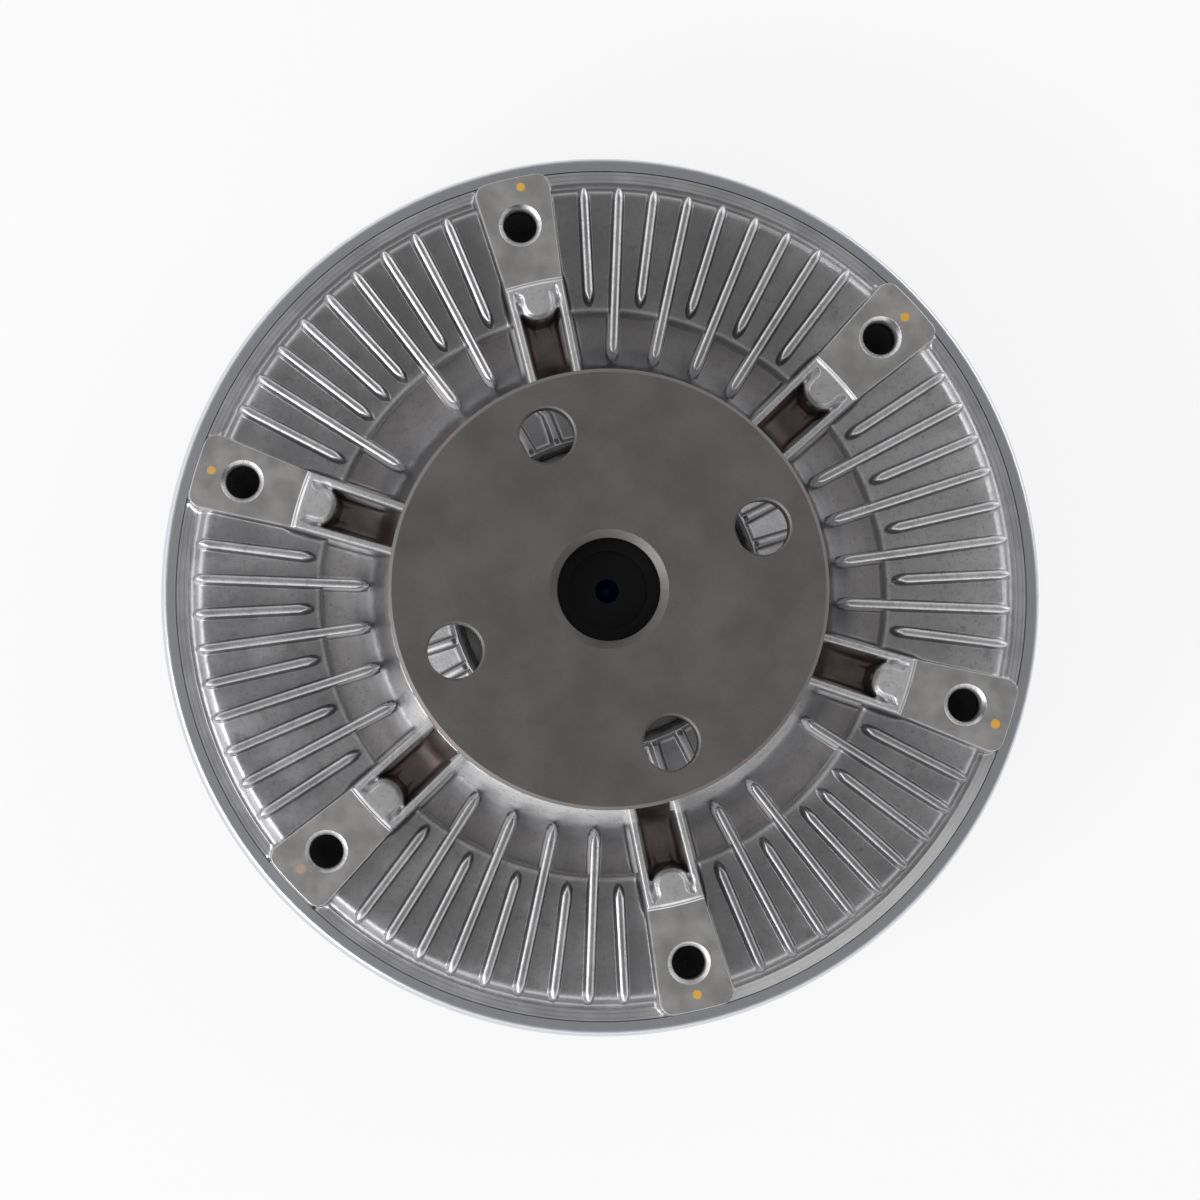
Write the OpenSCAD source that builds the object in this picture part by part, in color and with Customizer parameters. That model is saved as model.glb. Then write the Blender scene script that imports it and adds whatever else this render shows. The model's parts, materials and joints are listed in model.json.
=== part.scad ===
// Viscous fan clutch: an engine-driven flange turns a rotor, and silicone fluid drags the fan housing along.
// Millimetres. The origin is the centre of the mounting flange's face and +Z points out of that face,
// towards the engine. The clutch rests on the tips of its front fins.

/* [Mounting flange] */
// Outer diameter of the mounting flange
flange_d = 101.6; // [94:0.1:110]
// Thickness of the mounting flange
flange_t = 9.5; // [8:0.5:13]
// Chamfer round the flange's rim
flange_edge = 0.8; // [0.4:0.1:1.5]
// Circle through the flange's bolt holes
hub_bolt_pcd = 76.2; // [70:0.1:80]
// Number of bolt holes in the flange
hub_bolt_count = 4; // [3:1:6]
// Diameter of a flange bolt hole
hub_hole_d = 12.7; // [9:0.1:14]
// Chamfer at both mouths of a flange bolt hole
hub_hole_edge = 0.5; // [0.3:0.1:1]
// Angle of the first flange bolt hole as the clutch rests
hub_clock = 22; // [0:1:89]
// Diameter of the pilot bore
pilot_d = 23.8; // [18:0.1:27]
// Depth of the pilot bore
pilot_depth = 10; // [6:0.5:13]
// Chamfer at the mouth of the pilot bore
pilot_edge = 1.9; // [0.5:0.1:2.5]
// Diameter of the relief drilled below the pilot bore
relief_d = 18.4; // [12:0.1:20]
// Depth of the relief below the pilot bore
relief_depth = 3.4; // [1:0.1:5]
// Diameter of the lathe centre at the bottom of the relief
centre_d = 5.6; // [3:0.1:8]
// Width of the pilot drilled below that cone, as a share of its mouth
centre_pin = 0.3; // [0.2:0.05:0.5]

/* [Drive shaft] */
// Diameter of the neck between the flange and the bearing
neck_d = 47; // [44:0.5:50]
// Fillet between the neck and the flange
neck_fillet = 3; // [1:0.5:5]
// Diameter of the rotor's seat
rotor_seat_d = 32; // [26:0.5:36]
// Length of shaft past the rotor's retaining ring
shaft_nose = 1.8; // [1:0.1:3]
// Thickness of the rotor's retaining ring
rotor_ring_t = 1.75; // [1.2:0.05:2.5]
// Depth of the retaining ring's groove in the shaft
rotor_ring_groove = 1.1; // [0.6:0.1:1.6]
// Radial width of the rotor's retaining ring
rotor_ring_w = 4; // [3:0.1:5]
// Angle of the gap in the rotor's retaining ring
rotor_ring_gap = 24; // [16:1:36]
// Radius of the eyes in that ring
rotor_ring_eye = 0.9; // [0.6:0.1:1.2]
// Chamfer at the shaft's front end
shaft_edge = 1; // [0.5:0.1:1.5]

/* [Bearing] */
// Bore of the bearing
bearing_bore = 40; // [36:0.5:42]
// Outer diameter of the bearing
bearing_od = 68; // [66:0.5:74]
// Width of the bearing
bearing_w = 15; // [13:0.5:18]
// Diameter of a bearing ball, as a share of the pitch circle's diameter
ball_share = 0.1462; // [0.13:0.0002:0.16]
// Number of bearing balls
ball_count = 12; // [8:1:13]
// Running clearance between a ball and its tracks
ball_gap = 0.03; // [0.01:0.01:0.08]
// Depth of the ball track in each ring
track_depth = 1.4; // [1:0.1:2]
// Thickness of a bearing seal
bearing_seal_t = 1.2; // [0.8:0.1:1.6]
// Inset of a bearing seal from the bearing's end
bearing_seal_inset = 0.5; // [0.3:0.1:0.8]
// Clearance between a bearing seal and the inner ring
seal_gap = 0.3; // [0.2:0.05:0.5]
// Clearance between a ball and its cage
cage_gap = 0.2; // [0.1:0.05:0.3]
// Thickness of the cage's back, behind the balls
cage_back = 1; // [0.8:0.1:1.2]
// Reach of the cage past the middle of the balls, as a share of a pocket's radius
cage_grip = 0.5; // [0.3:0.05:0.7]
// Clearance between the cage and each bearing ring
cage_side_gap = 0.8; // [0.4:0.1:1.2]
// Thickness of the bearing's retaining ring
bearing_ring_t = 2.4; // [1.5:0.1:3]
// Depth of the bearing retaining ring's groove in the housing
bearing_ring_groove = 1.5; // [1:0.1:1.8]
// Radial width of the bearing's retaining ring
bearing_ring_w = 4.2; // [3:0.1:5]
// Angle of the gap in the bearing's retaining ring
bearing_ring_gap = 20; // [12:1:30]
// Radius of the eyes in that ring
bearing_ring_eye = 1.2; // [0.8:0.1:1.5]
// Clearance of a retaining ring in its groove
ring_gap = 0.1; // [0.05:0.01:0.2]

/* [Rear housing levels] */
// Gap between the flange and the housing's collar
hub_gap = 10.5; // [8:0.5:16]
// Drop from the collar to the machined fan pads
pad_drop = 6; // [3:0.5:9]
// Height of the fan pads above the outer floor
pad_h = 6.4; // [4.5:0.1:9]
// Drop from the outer floor to the inner floor
step_h = 4; // [2:0.5:5]
// Drop from the outer floor to the rim
rim_drop = 6.3; // [4:0.1:8]
// Height of the cooling ribs above the outer floor
rib_h = 4.4; // [2:0.1:5]
// Depth of the bearing's retaining ring below the collar
ring_inset = 3; // [2:0.1:5]
// Thickness of the lip that holds the bearing from the front
bearing_lip = 2; // [1.5:0.1:4]
// Radial width of the lip that holds the bearing from the front
bearing_lip_w = 3; // [2:0.1:3.5]

/* [Rear housing plan] */
// Wall of the collar round the bearing
collar_wall = 2.4; // [2.2:0.1:4]
// Chamfer at the mouth of the collar
collar_edge = 0.5; // [0.3:0.1:1]
// Spread of the collar's steep wall
collar_foot = 0.8; // [0.3:0.1:1.5]
// Height of the collar's steep wall
collar_h = 3.5; // [2:0.1:5]
// Diameter where the hub's cone ends on the inner floor
cone_d = 116; // [104:1:124]
// Radius of the shoulder where the cone turns down
cone_round = 1.2; // [0.8:0.1:5]
// Steepness of the shoulder's inner end, from the axis's normal
shoulder_from = 72; // [60:1:85]
// Steepness of the shoulder's outer end, from the axis's normal
shoulder_to = 31; // [10:1:40]
// Radial run of the steep flank and its fillet below that shoulder
flank_run = 6.9; // [2:0.1:9]
// Fillet between the flank and the inner floor
floor_fillet = 4.7; // [1.5:0.1:6]
// Rounding of the ribbed drum's outer edge
drum_round = 1.6; // [1:0.1:3]
// Spread of the ribbed drum's wall down to the rim
drum_foot = 1.2; // [0.6:0.1:1.8]
// Height of the small slope at the foot of that wall
drum_foot_h = 1.5; // [0.8:0.1:2.5]
// Distance from the seam to the turned line on the rim
rim_line = 2.7; // [1.5:0.1:3]
// Height of the small steps on the rim and at the foot of the drum
rim_step = 0.5; // [0.3:0.1:0.8]
// Run of the slope at the step between the two floors
step_run = 0.8; // [0.4:0.1:1.5]
// Diameter of the step between the two floors
step_d = 134; // [128:1:140]
// Diameter of the machined edge across each fan pad
pad_step_d = 151.4; // [146:0.2:158]
// Height of the cast nose above the machined pad
nose_h = 0.8; // [0.4:0.1:1.5]
// Radius of the cast nose between the rails
nose_r = 3.6; // [2.5:0.1:4.2]
// Distance from the machined edge to the tip of the nose
nose_reach = 9; // [7:0.1:11]
// Depth of the cast ears beside the nose
nose_ear = 2.6; // [1.5:0.1:4]
// Radius of the low ledge round the nose
ledge_r = 5.3; // [4.6:0.1:6]
// Reach of that ledge past the tip of the nose
ledge_lip = 0.6; // [0.2:0.1:1.5]
// Drop from the top of the nose to the ledge
ledge_drop = 0.8; // [0.4:0.1:2]
// Half angle of a fan pad
pad_half_angle = 5.25; // [4:0.05:6]
// Corner radius of a fan pad
pad_corner = 3; // [1:0.1:4]
// Angle of the first fan pad
pad_clock = 42.9; // [0:0.1:60]
// Number of fan pads
pad_count = 6; // [6:1:6]
// Circle through the fan bolt holes
fan_bolt_pcd = 177.8; // [172:0.1:182]
// Tapping diameter of a fan bolt hole
fan_hole_d = 7.94; // [6:0.02:9]
// Diameter of the chamfer at a fan bolt hole
fan_hole_mouth_d = 10.3; // [9.4:0.1:11.5]
// Metal left under the point of a fan bolt hole
fan_hole_floor = 1.2; // [1:0.1:3]
// Width of an arm's rail at its top
rail_w = 1.9; // [1.5:0.1:2.6]
// Gap between the flange's edge and the inner end of a rail under it
rail_inset = 5; // [2:0.5:8]
// Offset of a rail from the arm's middle, at the axis
rail_offset = 4; // [3.4:0.1:4.6]
// Angle by which a rail spreads outwards
rail_flare = 1.5; // [0:0.1:2]
// Draft angle of the rails
rail_draft = 5.5; // [3:0.5:8]
// Width of a cooling rib at its top
rib_w = 2.3; // [1.2:0.1:3]
// Rounded edge along the top of a rib, as a chamfer
rib_edge = 0.6; // [0.2:0.05:0.8]
// Draft angle of the cooling ribs
rib_draft = 3; // [2:0.5:7]
// Angle between neighbouring ribs
rib_pitch = 5; // [5:1:5]
// How far the ribs run out over the drum's wall
rib_over = 0.4; // [0.1:0.1:1]
// Gap between a short rib and the step
short_rib_gap = 0.9; // [0.5:0.1:3]
// How far a long rib runs up the flank of the cone
long_rib_lap = 3.1; // [1:0.1:5]
// Length of the pointed inner end of a rib
rib_nose = 3.6; // [2:0.1:5]
// Setback of a rib's top behind the foot of that end
rib_nose_lean = 1.8; // [0.5:0.1:3]
// Thickness of a rib under the flange
hub_rib_w = 1.7; // [1.2:0.1:2.4]
// Drop of a hub rib's top below the collar
hub_rib_drop = 0.4; // [0.2:0.1:1]
// Level stretch of a hub rib beside the collar
hub_rib_flat = 1.5; // [0.5:0.1:3]
// Gap between the flange's edge and the outer end of a rib under it
hub_rib_inset = 1; // [0.5:0.1:4]

/* [Rim] */
// Outer diameter of the clutch
cover_d = 209.5; // [204:0.5:216]
// Width of the rolled lip
lip_w = 3.65; // [3:0.05:4.5]
// Thickness of the rolled lip
lip_t = 1.6; // [1.2:0.1:2.2]
// Height of the rolled lip above the housing's rim
lip_proud = 0.3; // [0:0.1:0.8]
// Seam between the lip and the housing
seam_gap = 0.2; // [0.1:0.05:0.3]
// Wall of the cover outside the housing's rim
rim_wall = 1.85; // [1.4:0.05:2.4]
// Radial clearance of the housing's rim in the cover
rim_fit = 0.1; // [0.05:0.01:0.2]
// Thickness of the housing's rim
rim_t = 5.8; // [4.5:0.1:8]
// Distance from the seam to the end of a fan pad
pad_inset = 0.7; // [0.3:0.1:1.5]
// Distance from the seam to the wall of the ribbed drum
drum_inset = 5.1; // [4.5:0.1:7]
// Wall between the ribbed drum's face and the fluid chamber
drum_wall = 3.8; // [3:0.1:6]
// Section of the rim's sealing ring
rim_seal_d = 2.4; // [1.8:0.1:3]
// Free width beside the sealing ring in its groove
rim_seal_room = 0.4; // [0.2:0.1:0.8]
// Depth by which the sealing ring's groove exceeds the ring
rim_seal_gap = 0.05; // [0.02:0.01:0.1]

/* [Rotor and fluid chamber] */
// Axial gap between the rotor's back and the housing
rotor_gap = 1.2; // [0.8:0.1:2]
// Thickness of the rotor's disc
rotor_t = 6.5; // [5:0.1:9]
// Radial gap between the rotor and the chamber
rotor_rim_gap = 2.5; // [2:0.1:3.5]
// Diameter of the rotor's hub
rotor_hub_d = 46; // [42:0.5:47]
// Width of a fluid land
land_w = 2.4; // [1.8:0.1:3]
// Radial gap between a rotor land and a cover land
land_gap = 0.4; // [0.3:0.05:0.6]
// Height of the fluid lands
land_h = 4; // [3:0.1:6]
// Axial gap at the tips of the fluid lands
land_tip_gap = 1; // [0.6:0.1:1.5]
// Number of fluid lands on the rotor
land_count = 5; // [3:1:5]
// Distance from the rotor's edge to its outermost land
land_margin = 4.2; // [4:0.1:5]
// Number of balance holes through the rotor
rotor_hole_count = 6; // [4:1:8]
// Diameter of a balance hole
rotor_hole_d = 8; // [5:0.5:10]
// Circle through the balance holes
rotor_hole_pcd = 84; // [76:1:92]

/* [Front cover] */
// Thickness of the cover's plate
cover_t = 6; // [5.5:0.1:8]
// Rounding of the rolled lip's outer edge
lip_round = 1.1; // [0.6:0.1:1.4]
// Draft of the rim between the lip and its widest line
rim_taper = 0.6; // [0.2:0.1:1]
// Chamfer at the front of the rim
rim_front_edge = 2.5; // [1:0.1:4]
// Height of the cooling fins in front of the plate
fin_h = 26; // [24:0.5:32]
// Number of cooling fins
fin_count = 36; // [24:2:40]
// Thickness of a fin at its tip
fin_w = 1.8; // [1.4:0.1:2.4]
// Draft angle of a fin
fin_draft = 1.4; // [0.5:0.1:2]
// Diameter inside the ring of fins
fin_inner_d = 72; // [68:1:80]
// Distance from the outer ends of the fins to the cover's rim
fin_inset = 1.2; // [0.6:0.1:3]
// Slope of a fin's inner end, as radial run
fin_slope_in = 4; // [1:0.5:8]
// Slope of a fin's outer end, as radial run
fin_slope_out = 9; // [2:0.5:14]
// Straight stretch of a fin's outer end next to the plate
fin_shoulder = 5; // [2:0.5:10]
// Inner diameter of the fluid reservoir
reservoir_d = 92; // [88:1:96]
// Depth of the reservoir behind the pump plate
reservoir_depth = 10; // [8:0.5:12]
// Wall of the reservoir's dome
dome_t = 4; // [3:0.1:5]
// Slope of the dome's flank, as radial run
dome_run = 5; // [2:0.5:8]
// Diameter of the valve shaft's boss
boss_d = 22; // [18:0.5:24]
// Spread of that boss at its foot
boss_foot = 0.5; // [0.2:0.1:1]
// Length of the boss outside the dome
boss_out = 4.5; // [3:0.5:6]
// Length of the boss inside the reservoir
boss_in = 4.5; // [3:0.5:6]

/* [Fluid valve] */
// Thickness of the pump plate
plate_t = 1.5; // [1:0.1:2]
// Width of the ledge that the pump plate sits on
plate_ledge = 2.4; // [1.5:0.1:4]
// Radial clearance of the pump plate in its recess
plate_fit = 0.1; // [0.05:0.01:0.2]
// Circle through the pump plate's screws
plate_screw_pcd = 80; // [76:1:82]
// Number of pump plate screws
plate_screw_count = 4; // [3:1:6]
// Angle of the first pump plate screw
plate_screw_clock = 105; // [95:1:115]
// Diameter of a pump plate screw
plate_screw_d = 4; // [3:0.5:5]
// Diameter of a pump plate screw's head
plate_head_d = 7; // [6:0.5:8]
// Height of a pump plate screw's head
plate_head_h = 1.6; // [1:0.1:2.2]
// Diameter of a screw boss in the reservoir
plate_boss_d = 8; // [7:0.5:9]
// Metal left under a pump plate screw's hole
plate_screw_floor = 1; // [0.5:0.1:2]
// Free depth under the tip of a pump plate screw
plate_screw_room = 0.5; // [0.3:0.1:1]
// Clearance of a screw in the pump plate
plate_screw_gap = 0.25; // [0.1:0.05:0.5]
// Diameter of the fill port in the pump plate
port_d = 7; // [5:0.5:9]
// Circle that the fill port lies on
port_pcd = 56; // [50:1:60]
// Angle of the fill port
port_clock = 200; // [190:1:215]
// Thickness of the valve arm
arm_t = 0.9; // [0.6:0.1:1.4]
// Overlap of the valve arm's pad round the fill port
arm_overlap = 1.6; // [1:0.1:2.5]
// Wall of the valve arm's eye outside the shaft
arm_eye = 2; // [1:0.1:3]
// Width of the valve arm
arm_w = 7; // [5:0.5:9]
// Gap between the valve arm and the pump plate
arm_gap = 0.3; // [0.2:0.05:0.5]
// Diameter of the valve shaft
valve_d = 8; // [6:0.1:10]
// Diameter of the valve shaft's tenon in the arm
tenon_d = 5; // [4:0.1:5.5]
// Wall of the valve bushing
bush_wall = 2.4; // [1.5:0.1:3]
// Radial running clearance of the valve shaft in its bushing
bush_gap = 0.05; // [0.02:0.01:0.08]
// Width of the valve seal's groove
valve_seal_w = 2; // [1.4:0.1:2.6]
// Depth of the valve seal's groove
valve_seal_depth = 1; // [0.6:0.1:1.2]

/* [Pump-out] */
// Angle of the wiper and its return passage
wiper_clock = 60; // [50:1:70]
// Angle that the wiper spans
wiper_span = 8; // [5:1:12]
// Angle between the inlet hole and the wiper
wiper_lead = 2; // [1.5:0.1:4]
// Gap between the wiper and the rotor's edge
wiper_gap = 0.5; // [0.3:0.1:0.8]
// Height of the wiper
wiper_h = 9; // [6:0.5:10]
// Diameter of the return passage
return_d = 3.6; // [2.5:0.1:4]
// How far that passage opens inside the reservoir's wall
return_in = 3; // [1:0.5:5]
// Diameter of the inlet hole beside the wiper
inlet_d = 2.4; // [1.5:0.1:3]
// Depth of the plug below the rim
plug_recess = 1; // [0.5:0.1:2]
// Length of the plug that closes the return passage
plug_l = 6; // [4:0.5:8]

/* [Bimetal coil] */
// Outer diameter of the coil's arbor
arbor_d = 13; // [11:0.5:15]
// Gap between the boss and the arbor
arbor_gap = 1; // [0.5:0.1:2]
// Width of the bimetal strip
strip_w = 8; // [6:0.5:9]
// Thickness of the bimetal strip
strip_t = 1.1; // [0.8:0.1:1.4]
// Turns of the bimetal coil
coil_turns = 6; // [4:1:7]
// Straight steps in each turn of the coil
coil_steps = 36; // [24:4:60]
// Distance between neighbouring turns
coil_pitch = 2.9; // [2.4:0.1:3.2]
// Gap between the coil's inner end and the arbor
coil_weld = 0.05; // [0.02:0.01:0.1]
// Length of the tab at the coil's outer end
tab_l = 6; // [4:0.5:7]
// Diameter of the cast post that holds the tab
post_d = 7; // [5.5:0.5:9]
// Clearance of the tab in its slot
tab_gap = 0.1; // [0.05:0.05:0.2]
// Length of the shaft's riveted end in front of the arbor
rivet_l = 0.6; // [0.3:0.1:1]
// Distance of the coil's front edge behind the fin tips
coil_recess = 2.4; // [1:0.1:4]

/* [Hidden] */
$fn = 96;
// Overlap of joined solids and over-travel of cuts
eps = 0.5;

// Heights, from the flange's face down to the fin tips
z_flange = -flange_t;
z_collar = z_flange - hub_gap;
z_pad = z_collar - pad_drop;
z_nose = z_pad + nose_h;
z_floor = z_pad - pad_h;
z_rib = z_floor + rib_h;
z_inner = z_floor - step_h;
z_rim = z_floor - rim_drop;
z_ring = z_collar - ring_inset;
z_bearing = z_ring - bearing_ring_t;
z_bearing_front = z_bearing - bearing_w;
z_ball = z_bearing - bearing_w / 2;
z_roof = z_bearing_front - bearing_lip;
z_seat = z_rim - rim_t;
z_rotor = z_roof - rotor_gap;
z_rotor_front = z_rotor - rotor_t;
z_chamber = z_rotor_front - land_h - land_tip_gap;
z_plate = z_chamber - plate_t;
z_reservoir = z_plate - reservoir_depth;
z_dome = z_reservoir - dome_t;
z_boss = z_dome - boss_out;
z_cover = z_chamber - cover_t;
z_fin = z_cover - fin_h;
z_shaft_end = z_rotor_front - rotor_ring_t - shaft_nose;
z_arm = z_plate - arm_gap;
z_coil = z_fin + coil_recess;
z_passage = (z_chamber + z_cover) / 2;

// Radii of the rim, from outside in
cover_r = cover_d / 2;
seam_r = cover_r - lip_w;
rim_step_r = seam_r - seam_gap;
rim_bore_r = cover_r - rim_wall;
rim_r = rim_bore_r - rim_fit;
pad_end_r = rim_step_r - pad_inset;
drum_r = rim_step_r - drum_inset;
chamber_r = drum_r - drum_wall;
rotor_r = chamber_r - rotor_rim_gap;
rim_seal_r = (chamber_r + rim_bore_r) / 2;
z_lip = z_rim + lip_proud;
z_lip_under = z_lip - lip_t;

// Bearing radii
pitch_r = (bearing_bore + bearing_od) / 4;
ball_r = ball_share * pitch_r;
track_r = ball_r + ball_gap;
inner_shoulder_r = pitch_r - track_r + track_depth;
outer_shoulder_r = pitch_r + track_r - track_depth;
bearing_seal_in_r = inner_shoulder_r + seal_gap;

// Housing radii
collar_r = bearing_od / 2 + collar_wall;
collar_foot_r = collar_r + collar_foot;
lip_bore_r = bearing_od / 2 - bearing_lip_w;
cone_r = cone_d / 2;
step_r = step_d / 2;
pad_step_r = pad_step_d / 2;

// Fluid lands
land_pitch = 2 * (land_w + land_gap);
land_out_r = rotor_r - land_margin;

// Valve and coil radii
reservoir_r = reservoir_d / 2;
plate_r = reservoir_r + plate_ledge;
dome_r = plate_r + plate_fit + dome_t;
bush_r = valve_d / 2 + bush_gap + bush_wall;
arbor_r = arbor_d / 2;
coil_r0 = arbor_r + coil_weld + strip_t / 2;
coil_r1 = coil_r0 + coil_turns * coil_pitch;
post_r = coil_r1 + tab_l;

// Colours of the materials
c_cast = [0.66, 0.66, 0.67];
c_flange = [0.34, 0.33, 0.32];
c_steel = [0.72, 0.73, 0.75];
c_spring = [0.3, 0.31, 0.33];
c_rubber = [0.1, 0.1, 0.11];
c_bronze = [0.7, 0.53, 0.3];
c_bimetal = [0.62, 0.58, 0.5];
c_nylon = [0.82, 0.78, 0.66];

// Points along an arc in the profile plane, angles in degrees
function arc(c, r, a0, a1, steps = 5) = [
    for (i = [0:steps]) c + r * [cos(a0 + (a1 - a0) * i / steps), sin(a0 + (a1 - a0) * i / steps)]
];

// A ring of rectangular section
module ring(r_in, r_out, z_low, z_high) {
    translate([0, 0, z_low]) difference() {
        cylinder(r = r_out, h = z_high - z_low);
        translate([0, 0, -eps]) cylinder(r = r_in, h = z_high - z_low + 2 * eps);
    }
}

// A cylinder between two heights
module rod(r, z_low, z_high) {
    translate([0, 0, z_low]) cylinder(r = r, h = z_high - z_low);
}

// Copies on a circle about the axis
module around(count, clock = 0, radius = 0) {
    for (i = [0:count - 1]) rotate([0, 0, clock + i * 360 / count]) translate([radius, 0, 0]) children();
}

// A split retaining ring with an eye in each end
module split_ring(r_in, r_out, z_low, t, gap_angle, eye_r) {
    eye_at = (r_in + r_out) / 2;
    // an eye's middle sits this many of its radii back from the gap
    eye_back = 2.2;
    eye_angle = gap_angle / 2 + asin(eye_back * eye_r / eye_at);
    difference() {
        ring(r_in, r_out, z_low, z_low + t);
        rotate([0, 0, -gap_angle / 2])
            rotate_extrude(angle = gap_angle)
                translate([r_in - eps, z_low - eps]) square([r_out - r_in + 2 * eps, t + 2 * eps]);
        for (side = [-1, 1]) rotate([0, 0, side * eye_angle]) translate([eye_at, 0, 0])
            rod(eye_r, z_low - eps, z_low + t + eps);
    }
}

// Flange and shaft: one turned forging
module hub_shaft() {
    neck_r = neck_d / 2;
    seat_r = rotor_seat_d / 2;
    groove_r = seat_r - rotor_ring_groove;
    flange_r = flange_d / 2;
    pilot_r = pilot_d / 2;
    relief_r = relief_d / 2;
    centre_r = centre_d / 2;
    z_relief = -pilot_depth - relief_depth;
    pin_r = centre_pin * centre_r;
    hole_r = hub_hole_d / 2;
    mouth_r = hole_r + hub_hole_edge + eps;
    color(c_flange) difference() {
        rotate_extrude() polygon(concat(
            [[0, 0], [flange_r - flange_edge, 0], [flange_r, -flange_edge],
             [flange_r, z_flange + flange_edge], [flange_r - flange_edge, z_flange]],
            arc([neck_r + neck_fillet, z_flange - neck_fillet], neck_fillet, 90, 180),
            [[neck_r, z_bearing], [bearing_bore / 2, z_bearing], [bearing_bore / 2, z_bearing_front],
             [seat_r, z_bearing_front], [seat_r, z_rotor_front], [groove_r, z_rotor_front],
             [groove_r, z_rotor_front - rotor_ring_t], [seat_r, z_rotor_front - rotor_ring_t],
             [seat_r, z_shaft_end + shaft_edge], [seat_r - shaft_edge, z_shaft_end], [0, z_shaft_end]]
        ));
        rotate_extrude() polygon([
            [0, eps], [pilot_r + pilot_edge + eps, eps], [pilot_r, -pilot_edge], [pilot_r, -pilot_depth],
            [relief_r, -pilot_depth], [relief_r, z_relief], [centre_r, z_relief],
            [pin_r, z_relief - (centre_r - pin_r) * sqrt(3)], [pin_r, z_relief - 2 * centre_r],
            [0, z_relief - 2 * centre_r]
        ]);
        around(hub_bolt_count, hub_clock, hub_bolt_pcd / 2) {
            rod(hole_r, z_flange - eps, eps);
            translate([0, 0, -hub_hole_edge]) cylinder(r1 = hole_r, r2 = mouth_r, h = hub_hole_edge + eps);
            translate([0, 0, z_flange - eps]) cylinder(r1 = mouth_r, r2 = hole_r, h = hub_hole_edge + eps);
        }
    }
}

// Disc that shears the fluid, pressed on the shaft
module rotor() {
    color(c_cast) difference() {
        union() {
            ring(rotor_seat_d / 2, rotor_r, z_rotor_front, z_rotor);
            ring(rotor_seat_d / 2, rotor_hub_d / 2, z_rotor_front, z_bearing_front);
            for (i = [0:land_count - 1])
                ring(land_out_r - i * land_pitch - land_w, land_out_r - i * land_pitch,
                     z_rotor_front - land_h, z_rotor_front + eps);
        }
        around(rotor_hole_count, 0, rotor_hole_pcd / 2)
            rod(rotor_hole_d / 2, z_rotor_front - eps, z_rotor + eps);
    }
}

module rotor_retaining_ring() {
    groove_r = rotor_seat_d / 2 - rotor_ring_groove + ring_gap;
    color(c_spring)
        split_ring(groove_r, groove_r + rotor_ring_w, z_rotor_front - rotor_ring_t, rotor_ring_t,
                   rotor_ring_gap, rotor_ring_eye);
}

// Section of the ball track, cut from both bearing rings
module ball_track() {
    rotate_extrude() translate([pitch_r, z_ball]) circle(r = track_r);
}

module bearing_inner_ring() {
    color(c_steel) difference() {
        ring(bearing_bore / 2, inner_shoulder_r, z_bearing_front, z_bearing);
        ball_track();
    }
}

module bearing_outer_ring() {
    color(c_steel) difference() {
        ring(outer_shoulder_r, bearing_od / 2, z_bearing_front, z_bearing);
        ball_track();
    }
}

module bearing_balls() {
    color(c_steel) around(ball_count, 0, pitch_r) translate([0, 0, z_ball]) sphere(r = ball_r);
}

// Snap-in cage: a ring behind the balls with a pocket for each
module bearing_cage() {
    pocket_r = ball_r + cage_gap;
    color(c_nylon) difference() {
        ring(inner_shoulder_r + cage_side_gap, outer_shoulder_r - cage_side_gap,
             z_ball - pocket_r * cage_grip, z_ball + pocket_r + cage_back);
        around(ball_count, 0, pitch_r) translate([0, 0, z_ball]) sphere(r = pocket_r);
    }
}

module bearing_seal_rear() {
    z_top = z_bearing - bearing_seal_inset;
    color(c_rubber) ring(bearing_seal_in_r, outer_shoulder_r, z_top - bearing_seal_t, z_top);
}

module bearing_seal_front() {
    z_low = z_bearing_front + bearing_seal_inset;
    color(c_rubber) ring(bearing_seal_in_r, outer_shoulder_r, z_low, z_low + bearing_seal_t);
}

module bearing_retaining_ring() {
    r_out = bearing_od / 2 + bearing_ring_groove - ring_gap;
    color(c_spring) rotate([0, 0, pad_clock + 180 / pad_count])
        split_ring(r_out - bearing_ring_w, r_out, z_bearing, bearing_ring_t,
                   bearing_ring_gap, bearing_ring_eye);
}

// A drafted bar along X with chamfered top edges
module drafted_bar(x0, x1, z_top, z_low, w, draft) {
    spread = (z_top - z_low) * tan(draft);
    edge = min(rib_edge, w / 3);
    translate([x0, 0, 0]) rotate([90, 0, 90]) linear_extrude(x1 - x0) polygon([
        [w / 2 - edge, z_top], [w / 2, z_top - edge], [w / 2 + spread, z_low],
        [-w / 2 - spread, z_low], [-w / 2, z_top - edge], [edge - w / 2, z_top]
    ]);
}

// Pointed arch as wide as given, its tip at the origin and its length along X
module pointed_end(w, length) {
    r = (length * length + w * w / 4) / w;
    intersection() {
        translate([length, r - w / 2]) circle(r);
        translate([length, w / 2 - r]) circle(r);
        translate([-eps, -w]) square([length + 2 * eps, 2 * w]);
    }
}

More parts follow.
